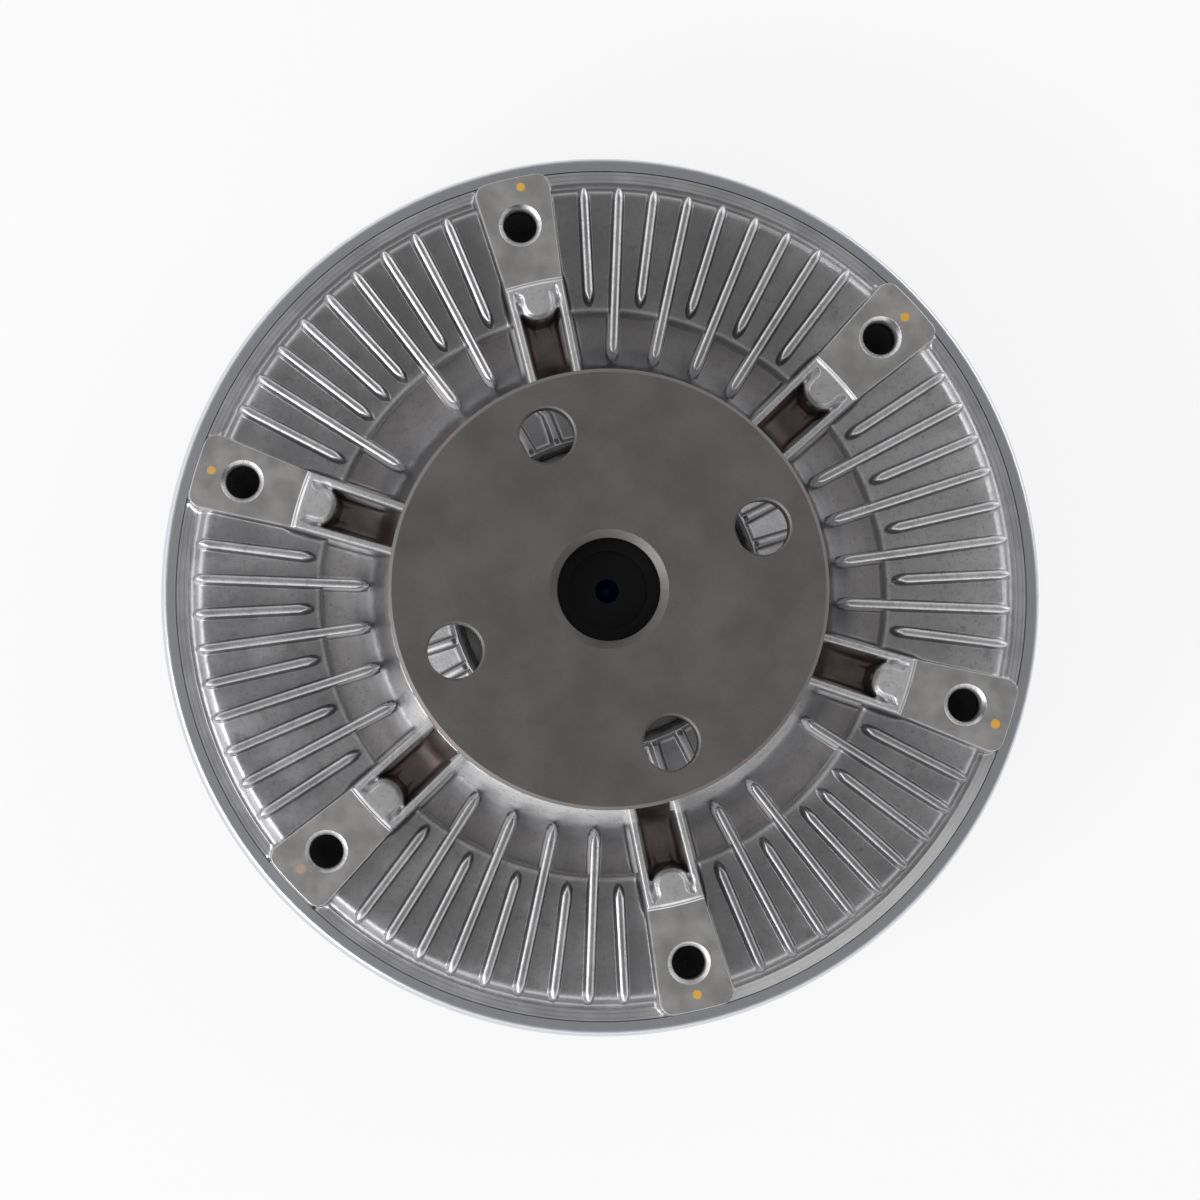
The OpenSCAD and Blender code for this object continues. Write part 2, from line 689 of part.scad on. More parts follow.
// One cooling rib: a drafted bar, pointed and leaning at the inner end, rounded at the outer one
module rib(r_in, r_out) {
    w_max = rib_w + 2 * (z_rib - z_inner + eps) * tan(rib_draft);
    intersection() {
        drafted_bar(r_in, r_out, z_rib, z_inner - eps, rib_w, rib_draft);
        translate([0, 0, z_inner - 2 * eps]) linear_extrude(z_rib - z_inner + 3 * eps) {
            translate([r_in, 0]) pointed_end(w_max, rib_nose);
            translate([r_in + rib_nose, -w_max / 2]) square([r_out - r_in - rib_nose - w_max / 2, w_max]);
            translate([r_out - w_max / 2, 0]) circle(d = w_max);
        }
        translate([0, w_max, 0]) rotate([90, 0, 0]) linear_extrude(2 * w_max) polygon([
            [r_in, z_inner - 2 * eps], [r_in + rib_nose_lean, z_rib + eps],
            [r_out + eps, z_rib + eps], [r_out + eps, z_inner - 2 * eps]
        ]);
    }
}

// Ribs between two neighbouring pads: long ones on odd steps, short ones on even steps
module rib_sector(last_is_short) {
    steps = round(360 / pad_count / rib_pitch);
    r_out = drum_r + rib_over;
    r_short = step_r + short_rib_gap;
    for (k = [2:steps - 2]) {
        is_long = k % 2 == 1 && !(last_is_short && k == steps / 2 + 1);
        rotate([0, 0, k * rib_pitch]) rib(is_long ? cone_r - long_rib_lap : r_short, r_out);
    }
}

// Sloping ribs under the flange, from the collar out over the cone
module hub_rib() {
    r_out = flange_d / 2 - hub_rib_inset;
    translate([0, hub_rib_w / 2, 0]) rotate([90, 0, 0]) linear_extrude(hub_rib_w) polygon([
        [collar_r - eps, z_collar - hub_rib_drop], [collar_r + hub_rib_flat, z_collar - hub_rib_drop],
        [r_out, z_rib + hub_rib_drop],
        [r_out, z_inner], [collar_r - eps, z_inner]
    ]);
}

// Plan of an arm from the axis side of its nose to its outer end
module arm_plan() {
    // the arc across the pad's end falls away this much at the corners
    end_sag = pad_end_r * (1 - cos(pad_half_angle)) / 2;
    corner_x = pad_end_r - pad_corner - end_sag;
    corner_y = corner_x * tan(pad_half_angle) - pad_corner;
    r_ear = pad_step_r - nose_ear;
    intersection() {
        circle(r = pad_end_r);
        union() {
            polygon([
                [r_ear, -r_ear * tan(pad_half_angle)], [corner_x, -corner_y - pad_corner],
                [corner_x, corner_y + pad_corner], [r_ear, r_ear * tan(pad_half_angle)]
            ]);
            translate([corner_x, -corner_y]) square([pad_corner + eps, 2 * corner_y]);
            for (side = [-1, 1]) translate([corner_x, side * corner_y]) circle(r = pad_corner);
            translate([pad_step_r - nose_reach + nose_r, -nose_r]) square([nose_reach - nose_r, 2 * nose_r]);
            translate([pad_step_r - nose_reach + nose_r, 0]) circle(r = nose_r);
        }
    }
}

// An arm: the pad, its nose with a ledge round it, and the two rails that run to the hub
module arm() {
    translate([0, 0, z_roof]) linear_extrude(z_nose - z_roof) arm_plan();
    translate([pad_step_r - nose_reach - ledge_lip + ledge_r, 0, 0])
        rod(ledge_r, z_roof, z_nose - ledge_drop);
    for (side = [-1, 1]) rotate([0, 0, side * rail_flare]) translate([0, side * rail_offset, 0])
        drafted_bar(flange_d / 2 - rail_inset, pad_step_r, z_nose, z_inner - eps, rail_w, rail_draft);
}

// Half section of the rear housing without arms and ribs
module housing_section() {
    polygon(concat(
        [[lip_bore_r, z_roof], [lip_bore_r, z_collar], [collar_r, z_collar],
         [collar_foot_r, z_collar - collar_h]],
        arc([cone_r - flank_run - cone_round, z_rib - cone_round], cone_round, shoulder_from, shoulder_to),
        arc([cone_r, z_inner + floor_fillet], floor_fillet, 180 + shoulder_to, 270),
        [[step_r - step_run, z_inner], [step_r, z_floor - step_run / 2], [step_r + step_run / 2, z_floor]],
        arc([drum_r - drum_round, z_floor - drum_round], drum_round, 90, 10),
        [[drum_r + drum_foot - rim_step, z_rim + drum_foot_h],
         [drum_r + drum_foot + rim_step, z_rim + rim_step],
         [rim_step_r - rim_line, z_rim + rim_step], [rim_step_r - rim_line + rim_step, z_rim],
         [rim_step_r, z_rim], [rim_step_r, z_lip_under], [rim_r, z_lip_under], [rim_r, z_seat],
         [chamber_r, z_seat], [chamber_r, z_roof]]
    ));
}

// Die-cast rear half of the fan housing
module rear_housing() {
    hole_r = fan_hole_d / 2;
    mouth_r = fan_hole_mouth_d / 2;
    tip = hole_r * tan(30);
    z_tip = z_roof + fan_hole_floor;
    short_pads = [1, 4];
    color(c_cast) difference() {
        union() {
            rotate_extrude() housing_section();
            around(pad_count, pad_clock) arm();
            for (i = [0:pad_count - 1]) rotate([0, 0, pad_clock + i * 360 / pad_count])
                rib_sector(len(search(i, short_pads)) > 0);
            around(round(180 / rib_pitch), pad_clock + rib_pitch) hub_rib();
        }
        rod(bearing_od / 2, z_bearing_front, z_collar + eps);
        rod(bearing_od / 2 + bearing_ring_groove, z_bearing, z_ring);
        translate([0, 0, z_collar - collar_edge])
            cylinder(r1 = bearing_od / 2, r2 = bearing_od / 2 + 2 * collar_edge, h = 2 * collar_edge);
        ring(pad_step_r, cover_r, z_pad, z_nose + eps);
        around(pad_count, pad_clock, fan_bolt_pcd / 2) {
            rod(hole_r, z_tip + tip, z_pad + eps);
            translate([0, 0, z_tip]) cylinder(r1 = 0, r2 = hole_r, h = tip);
            translate([0, 0, z_pad - (mouth_r - hole_r)])
                cylinder(r1 = hole_r, r2 = mouth_r + eps, h = mouth_r - hole_r + eps);
        }
    }
}

// One cooling fin on the front, as a drafted bar pointing down
module fin() {
    mirror([0, 0, 1])
        drafted_bar(fin_inner_d / 2, cover_r - fin_inset, -z_fin, -z_cover - cover_t / 2, fin_w, fin_draft);
}

// All fins, with their ends sloped back from the front as the die leaves them
module fins() {
    r_in = fin_inner_d / 2;
    r_out = cover_r - fin_inset;
    z_top = z_cover + cover_t / 2;
    intersection() {
        around(fin_count) fin();
        rotate_extrude() polygon([
            [r_in - eps, z_top + eps], [r_in - eps, z_dome - eps], [r_in + fin_slope_in, z_fin - eps],
            [r_out - fin_slope_out, z_fin - eps], [r_out, z_cover - fin_shoulder], [r_out, z_top + eps]
        ]);
    }
}

// Half section of the front cover's outside, filled
module cover_section() {
    z_wide = z_seat;
    edge_r = cover_r - rim_taper;
    polygon(concat(
        [[0, z_seat], [seam_r, z_seat], [seam_r, z_lip]],
        arc([edge_r - lip_round, z_lip - lip_round], lip_round, 90, 0),
        [[cover_r, z_wide], [cover_r, z_cover + rim_front_edge], [cover_r - rim_front_edge, z_cover],
         [dome_r + dome_run, z_cover], [dome_r, z_dome],
         [boss_d / 2 + boss_foot, z_dome], [boss_d / 2, z_boss], [0, z_boss]]
    ));
}

// Cast post that grips the tab of the bimetal coil
module coil_post() {
    translate([post_r, 0, 0]) difference() {
        rod(post_d / 2, z_fin + coil_recess, z_dome + eps);
        translate([-post_d, -tab_gap, z_fin])
            cube([post_d, strip_t + 2 * tab_gap, coil_recess + strip_w + tab_gap]);
    }
}

// Die-cast front half: rolled lip, fluid lands, reservoir and cooling fins
module front_cover() {
    boss_r = boss_d / 2;
    groove_w = rim_seal_d + rim_seal_room;
    color(c_cast) difference() {
        union() {
            difference() {
                union() {
                    rotate_extrude() cover_section();
                    fins();
                    coil_post();
                }
                rod(chamber_r, z_chamber, z_lip + eps);
                rod(rim_bore_r, z_seat, z_lip_under);
                rod(plate_r + plate_fit, z_plate, z_chamber + eps);
                rod(reservoir_r, z_reservoir, z_plate + eps);
                ring(rim_seal_r - groove_w / 2, rim_seal_r + groove_w / 2,
                     z_seat - rim_seal_d - rim_seal_gap, z_seat + eps);
            }
            for (i = [0:land_count - 1])
                ring(land_out_r + land_gap - i * land_pitch, land_out_r + land_gap - i * land_pitch + land_w,
                     z_chamber - eps, z_chamber + land_h);
            rod(boss_r, z_reservoir - eps, z_reservoir + boss_in);
            around(plate_screw_count, plate_screw_clock, plate_screw_pcd / 2)
                rod(plate_boss_d / 2, z_reservoir - eps, z_plate);
        }
        rod(bush_r, z_boss - eps, z_reservoir + boss_in + eps);
        around(plate_screw_count, plate_screw_clock, plate_screw_pcd / 2)
            rod(plate_screw_d / 2, z_reservoir + plate_screw_floor, z_plate + eps);
        rotate([0, 0, wiper_clock]) {
            translate([reservoir_r - return_in, 0, z_passage]) rotate([0, 90, 0])
                cylinder(d = return_d, h = cover_r);
            translate([chamber_r - inlet_d, 0, 0]) rod(inlet_d / 2, z_passage, z_chamber + eps);
        }
    }
}

// Sealing ring between the two castings
module rim_seal() {
    color(c_rubber) rotate_extrude()
        translate([rim_seal_r, z_seat - (rim_seal_d + rim_seal_gap) / 2]) circle(d = rim_seal_d);
}

// Plate between the reservoir and the fluid chamber, with the fill port
module pump_plate() {
    color(c_steel) difference() {
        rod(plate_r, z_plate, z_chamber);
        around(plate_screw_count, plate_screw_clock, plate_screw_pcd / 2)
            rod(plate_screw_d / 2 + plate_screw_gap, z_plate - eps, z_chamber + eps);
        rotate([0, 0, port_clock]) translate([port_pcd / 2, 0, 0])
            rod(port_d / 2, z_plate - eps, z_chamber + eps);
    }
}

module pump_plate_screws() {
    color(c_spring) around(plate_screw_count, plate_screw_clock, plate_screw_pcd / 2) {
        rod(plate_head_d / 2, z_chamber, z_chamber + plate_head_h);
        rod(plate_screw_d / 2, z_reservoir + plate_screw_floor + plate_screw_room, z_chamber + eps);
    }
}

// Block that dams the fluid at the rotor's edge and turns it into the return passage
module wiper() {
    color(c_nylon) rotate([0, 0, wiper_clock + wiper_lead]) rotate_extrude(angle = wiper_span)
        translate([rotor_r + wiper_gap, z_chamber]) square([chamber_r - rotor_r - wiper_gap, wiper_h]);
}

// Plug in the outer end of the drilled return passage
module return_plug() {
    color(c_steel) rotate([0, 0, wiper_clock]) translate([cover_r - plug_l - plug_recess, 0, z_passage])
        rotate([0, 90, 0]) cylinder(d = return_d, h = plug_l);
}

module valve_bushing() {
    color(c_bronze) ring(valve_d / 2 + bush_gap, bush_r, z_boss, z_reservoir + boss_in);
}

// Shaft that the coil turns and that carries the valve arm
module valve_shaft() {
    shaft_r = valve_d / 2;
    seal_z = (z_boss + z_reservoir + boss_in) / 2;
    color(c_steel) difference() {
        union() {
            rod(shaft_r, z_coil - rivet_l, z_arm - arm_t);
            rod(tenon_d / 2, z_arm - arm_t - eps, z_arm);
        }
        ring(shaft_r - valve_seal_depth, shaft_r + eps, seal_z - valve_seal_w / 2, seal_z + valve_seal_w / 2);
    }
}

// Flat arm that covers the fill port when the clutch is cold
module valve_arm() {
    pad_r = port_d / 2 + arm_overlap;
    color(c_steel) rotate([0, 0, port_clock]) translate([0, 0, z_arm - arm_t]) linear_extrude(arm_t)
        difference() {
            union() {
                circle(r = valve_d / 2 + arm_eye);
                translate([0, -arm_w / 2]) square([port_pcd / 2, arm_w]);
                translate([port_pcd / 2, 0]) circle(r = pad_r);
            }
            circle(d = tenon_d);
        }
}

module valve_seal() {
    shaft_r = valve_d / 2;
    seal_z = (z_boss + z_reservoir + boss_in) / 2;
    color(c_rubber)
        ring(shaft_r - valve_seal_depth, shaft_r, seal_z - valve_seal_w / 2, seal_z + valve_seal_w / 2);
}

// Bush on the shaft's front end, to which the coil's inner end is welded
module coil_arbor() {
    color(c_steel) ring(valve_d / 2, arbor_r, z_coil, z_boss - arbor_gap);
}

// Flat spiral of bimetal strip with a radial tab in the post's slot
module bimetal_coil() {
    steps = coil_turns * coil_steps;
    turn = 360 * coil_turns;
    inner = [for (i = [0:steps]) (coil_r0 - strip_t / 2 + i / steps * coil_turns * coil_pitch)
        * [cos(turn * i / steps), sin(turn * i / steps)]];
    outer = [for (i = [steps:-1:0]) (coil_r0 + strip_t / 2 + i / steps * coil_turns * coil_pitch)
        * [cos(turn * i / steps), sin(turn * i / steps)]];
    tab = [[coil_r1 - strip_t / 2, strip_t], [post_r - tab_gap, strip_t], [post_r - tab_gap, 0]];
    color(c_bimetal) translate([0, 0, z_coil]) linear_extrude(strip_w) polygon(concat(inner, tab, outer));
}

hub_shaft();
rotor();
rotor_retaining_ring();
bearing_inner_ring();
bearing_balls();
bearing_cage();
rear_housing();
front_cover();
bearing_outer_ring();
bearing_seal_rear();
bearing_seal_front();
bearing_retaining_ring();
rim_seal();
pump_plate();
pump_plate_screws();
wiper();
return_plug();
valve_bushing();
bimetal_coil();
valve_shaft();
valve_arm();
valve_seal();
coil_arbor();
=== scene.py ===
import json
import math

import bpy
import numpy as np
from mathutils import Matrix, Vector


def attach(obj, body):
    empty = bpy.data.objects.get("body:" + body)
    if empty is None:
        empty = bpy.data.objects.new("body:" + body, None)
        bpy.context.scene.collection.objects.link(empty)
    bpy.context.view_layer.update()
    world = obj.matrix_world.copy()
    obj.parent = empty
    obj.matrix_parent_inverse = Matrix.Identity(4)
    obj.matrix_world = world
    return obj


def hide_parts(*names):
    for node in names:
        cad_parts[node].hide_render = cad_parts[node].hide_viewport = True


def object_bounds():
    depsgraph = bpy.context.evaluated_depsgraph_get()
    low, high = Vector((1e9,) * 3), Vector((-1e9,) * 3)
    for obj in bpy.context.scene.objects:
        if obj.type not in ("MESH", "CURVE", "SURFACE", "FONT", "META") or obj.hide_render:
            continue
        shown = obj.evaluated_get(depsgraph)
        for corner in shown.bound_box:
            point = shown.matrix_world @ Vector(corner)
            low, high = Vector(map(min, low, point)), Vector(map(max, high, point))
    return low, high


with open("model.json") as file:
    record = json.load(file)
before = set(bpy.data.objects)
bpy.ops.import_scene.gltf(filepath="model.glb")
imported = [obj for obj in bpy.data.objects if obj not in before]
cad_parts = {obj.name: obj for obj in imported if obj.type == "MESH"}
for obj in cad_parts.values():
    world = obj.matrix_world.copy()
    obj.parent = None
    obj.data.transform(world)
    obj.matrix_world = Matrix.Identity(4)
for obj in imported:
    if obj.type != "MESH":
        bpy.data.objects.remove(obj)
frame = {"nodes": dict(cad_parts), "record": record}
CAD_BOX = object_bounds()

# Units: sizes are in millimetres, angles in degrees, heights along the shaft from the flange face
MM = 0.001

# Collar, pads, arms and ribs of the rear housing
COLLAR_EDGE = (36.4, -20.4)
COLLAR_FOOT = (37.9, -20.4)
PADS = 6
PAD_CLOCK = 42.9
SECTOR = 360 / PADS
RIB_PITCH = 5.0
FIRST_RIB = 2
LAST_RIB = 10
SHORT_MIDDLE_RIB = 7
SHORT_SECTORS = (1, 4)
RIB_HALF = 1.12
RIB_EDGE = 0.98
RIB_TOP = -28.0
RIB_DRAFT = 3.0
RIB_FILLET = 0.4
RIB_OUTER = 96.2
RIB_END = 3.0
SHORT_RIB_INNER = 67.9
LONG_RIB_INNER = 54.9
RIB_NOSE = 3.6
NOSE_TAPER = 1.75
HUB_RIB_OUTER = 50.6
HUB_RIB_ANGLE = 5.0
HUB_RIB_REACH = 53.0
FILLET = 0.8
RAIL_HALF = 0.95
RAIL_EDGE = 0.6
RAIL_DRAFT = 5.5
RAIL_OFFSET = 4.0
RAIL_SPLAY = 1.5
RAIL_FROM = 45.8
RAIL_LEAVES_HUB = 43.5
RAIL_TO = 77.0
ARM_TOP = -25.2
NOSE_HALF = 3.6
NOSE_CENTRE = 70.3
NOSE_EDGE = 0.9
NOSE_DRAFT = 4.0
NOSE_FLARE = (72.3, 74.0)
LEDGE_CENTRE = 71.4
EAR_AT = (69.9, 4.6)
EAR_HALF = (1.3, 0.5)
EAR_TILT = 22.0
EAR_DEPTH = 0.8
EAR_RIM = 1.15
EAR_SLOPE = 0.5
EAR_SHELF = 68.2
LEDGE_R = 5.3
LEDGE_TOP = -26.0
PAD_TOP = -26.0
PAD_STEP = 74.1
PAD_STEP_END = PAD_STEP + 1.2
PAD_HALF_ANGLE = 5.25
PAD_END = 100.2
PAD_CORNER = 3.0
PAD_DRAFT = 1.5
PAD_EDGE = 0.18
PAD_FILLET = 0.5
LEAST_BEND = 0.001
POCKET_FLOOR = -36.4
POCKET_FROM = 60.0
ARM_REACH = 12.0

# Tapped fan holes
HOLE_CIRCLE = 88.9
HOLE_MOUTH = 4.95
HOLE_R = 3.97
HOLE_BOTTOM = -38.9
HOLE_POINT = -41.2
THREAD_PITCH = 1.5875
THREAD_DEPTH = 0.42
THREAD_FROM = -27.2
THREAD_STEP = 0.36
HOLE_SIDES = 36
HOLE_TURNS = np.arange(HOLE_SIDES) * 2 * math.pi / HOLE_SIDES
MOUTH_RINGS = ((HOLE_MOUTH + 0.12, PAD_TOP), (HOLE_MOUTH, PAD_TOP - 0.05), (4.25, -26.75), (4.08, -26.95))
END_RINGS = ((HOLE_R, HOLE_BOTTOM), (0.3, HOLE_POINT))
PATCH_RINGS = (83.0, 94.8)
PATCH_COLUMNS = 12

# Mesh columns on one side of an arm's middle, and the strip of floor kept level beside it
ARM_SIDE = 18
POCKET_COLUMNS = 8
RAIL_COLUMN = 11
PAD_COLUMNS = 14
GUARD = 0.6

# Where mesh columns and rings lie: shares of a fillet or edge, least widths, and where one layout ends
FILLET_SHARE = 0.3
EDGE_SHARE = 0.25
CROWN_LEANS = (0, 22, 45, 70)
LEAST_RISE = 2.0
LEAST_POCKET = 0.8
LEAST_NOSE = 1.6
NOSE_ROOM = 0.9
NOSE_LIP = 0.1
PAD_INSET = 1.6 * PAD_EDGE
PAD_SIDE_STEP = 0.04
NOSE_COLUMNS = (64.5, 66.0)
SQUEEZED_TO = 64.0
COLUMN_BLEND = 3.2
COLUMN_GAP = 0.12
LEAST_RING_GAP = 0.06
UNDERSIDE_SPLIT = 40.0

# Finishes of the housing's faces, in the order of its materials, and what tells them apart
CAST, PAD_FACE, TURNED, HOLE, POCKET = range(5)
TOUCH = 0.02
LEVEL = 0.03
STEEP = 0.5
PAD_FACE_FROM = PAD_STEP + 0.2
POCKET_SHADE_TOP = -28.5
RIM_FROM = 97.3
TURNED_FROM = 98.1
TURNED_BELOW = -37.9
SHARP_ANGLE = 72.0
NORMAL_WEIGHT = 60

# Yellow paint dots on the pads: radius, angle from the pad's middle, dot radius, strength
PAINT_DOTS = (
    (96.4, -0.25, 1.15, 1.0),
    (97.7, -1.2, 1.1, 1.0),
    (96.6, -0.2, 1.1, 0.9),
    (96.1, -0.64, 1.2, 0.35),
    (96.5, 0.1, 1.15, 1.0),
    (97.0, -1.3, 1.2, 1.0),
)
PAINT_COLOUR = (0.80, 0.43, 0.05)
PAINT_RAGGED = 0.25
PAINT_EDGE = (1.12, 0.9)

# Bands of shade: an axis, then the millimetres where the shade is gone and where it is full
DEEP = (("height", -34.5, -35.8),)
BELOW_CROWN = (("height", -28.4, -28.9),)
SHADED_INNER_SIDE = (("radius", 96.0, 66.0),)
INNER_FLOOR = DEEP + (("radius", 54.5, 60.0), ("radius", 68.5, 67.2))
SHADED_UPPER_RIBS = (("y", 35.0, 75.0), ("height", -27.2, -28.5), ("x", 58.0, 40.0))
SHADED_LOWER_SIDE = (("y", -30.0, -70.0),)
LIT_LEFT_FLOOR = INNER_FLOOR + (("x", -44.0, -56.0), ("y", 16.0, 10.0))
LIT_RIGHT_SIDE = (("x", 45.0, 75.0), ("y", -30.0, 10.0))
SHADED_RIB_WALL = BELOW_CROWN + (("height", -32.1, -31.4), ("radius", 65.7, 66.7), ("radius", 94.5, 93.0))
SHADED_FLOOR_EDGE = DEEP + (("radius", 62.5, 65.5),)
OFF_HUB = (("radius", 53.5, 55.0),)
CREST_HIGHLIGHT = OFF_HUB + (("height", -28.6, -28.35), ("height", -28.01, -28.09))
CREST_HIGHLIGHT_LEFT = (-85.0, -50.0)
LOWER_RIGHT = (("x", 2.0, 22.0), ("y", -10.0, -34.0))
SHADED_CROWN = OFF_HUB + LOWER_RIGHT + (("height", -29.2, -28.8), ("height", -27.6, -27.9))
SHADE_UNDER_FLANGE = (("radius", 50.0, 48.5),)
SHADED_HUB_FOOT = (("radius", 51.3, 52.1), ("radius", 60.5, 56.5), ("y", -34.0, -14.0), ("height", -29.0, -30.5))
GLARE = (("radius", 53.0, 56.0), ("radius", 62.5, 57.5), ("height", -31.8, -32.8))
SHADED_LOWER_GLARE = GLARE + (("y", 20.0, -10.0),)
PAST_HUB_RIBS = (("radius", 50.4, 50.9),)
COVE = PAST_HUB_RIBS + (("radius", 55.2, 53.8), ("y", -12.0, -32.0))
RAIL_ROOT = PAST_HUB_RIBS + (("height", -27.2, -26.4),)
FLOOR_STEP = (("radius", 65.9, 66.3), ("radius", 68.2, 67.3), ("height", -31.6, -32.2))
INSIDE_STEP = BELOW_CROWN + (("radius", 66.4, 65.8),)
RIB_FLANK = INSIDE_STEP + (("height", -36.1, -35.2), ("radius", 56.0, 61.0))
RIB_TIP = INSIDE_STEP + (("height", -34.6, -33.8), ("radius", 53.8, 57.0))
STEP_SHADE = (("x", -35.0, -50.0), ("y", -30.0, -42.0), ("radius", 80.0, 77.5))
LIT_RIM = (("x", 0.0, 30.0), ("y", -20.0, -60.0), ("radius", 80.0, 95.0))
HOLE_SHADE = (("height", -29.5, -36.0),)
FLANGE_EDGE = (("radius", 48.5, 50.5),)
BORE = (("radius", 13.5, 12.5), ("height", -1.5, -3.0))
BLUE_DAB = (("radius", 3.2, 2.4), ("height", -12.0, -13.0))
LIP_FACE = (("radius", 104.5, 104.0),)
LIP = (("radius", 98.5, 99.5), ("height", -52.0, -50.0))

# Coats of colour, laid on in this order: band, share, colour
FLOOR_COATS = (
    # Painted shade: darker below the rib crowns at the top
    (SHADED_UPPER_RIBS, 0.6, (0.26, 0.26, 0.265)),
    # Painted shade: darker towards the bottom
    (SHADED_LOWER_SIDE, 0.3, (0.26, 0.26, 0.265)),
    # Painted light: the inner floor paler on the left
    (LIT_LEFT_FLOOR, 0.5, (0.86, 0.85, 0.85)),
    # Painted light: paler on the right
    (LIT_RIGHT_SIDE, 0.5, (0.80, 0.80, 0.81)),
    # Painted shade on the walls of the ribs
    (SHADED_RIB_WALL, 0.8, (0.15, 0.15, 0.155)),
    # Painted shade with a reddish tint where the inner floor meets its step
    (SHADED_FLOOR_EDGE, 0.15, (0.20, 0.17, 0.17)),
)
HUB_COATS = (
    # Painted shade: darker rib crowns at the lower right
    (SHADED_CROWN, 0.55, (0.20, 0.20, 0.205)),
    # Painted shade under the flange
    (SHADE_UNDER_FLANGE, 1.0, (0.27, 0.27, 0.28)),
    # Painted shade on the hub's foot towards the bottom
    (SHADED_HUB_FOOT, 0.4, (0.27, 0.27, 0.285)),
    # Painted shade over the glare band round the hub foot, towards the bottom
    (SHADED_LOWER_GLARE, 0.45, (0.20, 0.20, 0.21)),
)
BORE_COATS = (
    (BORE, 0.93, (0.012, 0.012, 0.013)),
    (BLUE_DAB, 1.0, (0.01, 0.03, 0.10)),
)

# Noise levels that part two shades, and the dark specks between the grains of a casting
MIDDLE = (0.3, 0.7)
CLOUDS = (0.35, 0.65)
SPECKS = (0.30, 0.42)
SPECK_COLOUR = (0.22, 0.215, 0.21)
LINE_ROUGHNESS = 0.65
ROUGHNESS_SWING = 0.06

# Plain finishes by name: dark and light shade, roughness, grain in cells a metre, share of metal
PLAIN_FINISHES = {
    # Painted shade and painted reflection: a darker, browner copy of the cast skin for the deep pockets
    "pocket_shade": ((0.21, 0.175, 0.168), (0.38, 0.315, 0.30), 0.50, 700, 0.85),
    "bearing_steel": ((0.60, 0.61, 0.62), (0.72, 0.73, 0.74), 0.22, 900, 1.0),
    "spring_steel": ((0.40, 0.40, 0.41), (0.52, 0.52, 0.53), 0.40, 900, 1.0),
    "plate_steel": ((0.54, 0.54, 0.52), (0.66, 0.66, 0.64), 0.34, 900, 1.0),
    "rubber": ((0.022, 0.022, 0.024), (0.036, 0.036, 0.038), 0.62, 1200, 0.0),
    "nylon": ((0.64, 0.58, 0.45), (0.74, 0.68, 0.54), 0.48, 1200, 0.0),
    "bronze": ((0.48, 0.33, 0.16), (0.62, 0.45, 0.24), 0.45, 900, 1.0),
    "bimetal": ((0.40, 0.37, 0.31), (0.54, 0.49, 0.40), 0.36, 900, 1.0),
}
PIT_SHADE = 0.6

# Sockets of a colour mix node
MIX_SHARE = 0
MIX_COLOURS = (6, 7)
MIX_RESULT = 2

# Camera
CAMERA_AT = (-47.12, -45.22, 1141.12)
CAMERA_AIM = (-0.36, -0.88, -44.5)
LENS = 149.34
SENSOR = 36.0
FARTHEST = 20.0

# Studio, in metres and watts: lamps by place, size and power, sky by height and brightness
FLOOR_HALF = 4.0
FLOOR_COLOUR = (0.93, 0.93, 0.93, 1)
FLOOR_GLOW = 0.85
LAMP_AIM = (0, 0, -0.04)
LAMPS = {"key_lamp": ((-1.15, -0.75, 0.75), 1.1, 14), "fill_lamp": ((1.1, 0.7, 0.8), 1.1, 5)}
SKY_STOPS = ((0.0, 1.08), (0.28, 1.0), (0.60, 0.46), (1.0, 0.27))
BRIGHT_SIDE = (-0.88, -0.47, 0)
SIDE_LIGHT = (-0.7, 0.7, 0.62, 1.34)


def arc(x, z, radius, start, end, steps):
    """Points along an arc from start to end."""
    turns = np.radians(np.linspace(start, end, steps))
    return [(x + radius * math.cos(a), z + radius * math.sin(a)) for a in turns]


def cove(start, corner, end, steps):
    """Points along a curve that rounds off a corner."""
    share = np.linspace(0, 1, steps)[:, None]
    curve = (1 - share) ** 2 * np.array(start) + 2 * share * (1 - share) * np.array(corner)
    return [tuple(point) for point in curve + share ** 2 * np.array(end)]


def base_profile():
    """Section of the casting between its ribs, from the collar's bore out to the rim."""
    points = [(34.0, -20.6), (34.6, -20.0), (36.0, -20.0), (36.28, -20.12), COLLAR_EDGE]
    points += [(36.95, -22.8), (37.25, -23.4), (37.9, -23.72)]
    points += arc(49.9, -29.4, 1.2, 72, 30, 4)
    points += cove((53.4, -33.12), (55.27, POCKET_FLOOR), (61.0, POCKET_FLOOR), 8)
    points += [(65.9, POCKET_FLOOR), (66.3, -36.2), (66.5, -35.6)]
    points += [(66.9, -32.85), (67.1, -32.5), (67.5, -32.4)]
    points += arc(94.2, -34.0, 1.6, 90, 10, 5)
    points += [(96.5, -37.2), (96.85, -37.85), (97.4, -38.2), (98.2, -38.2), (98.36, -38.7), (100.9, -38.7)]
    return np.array(points)


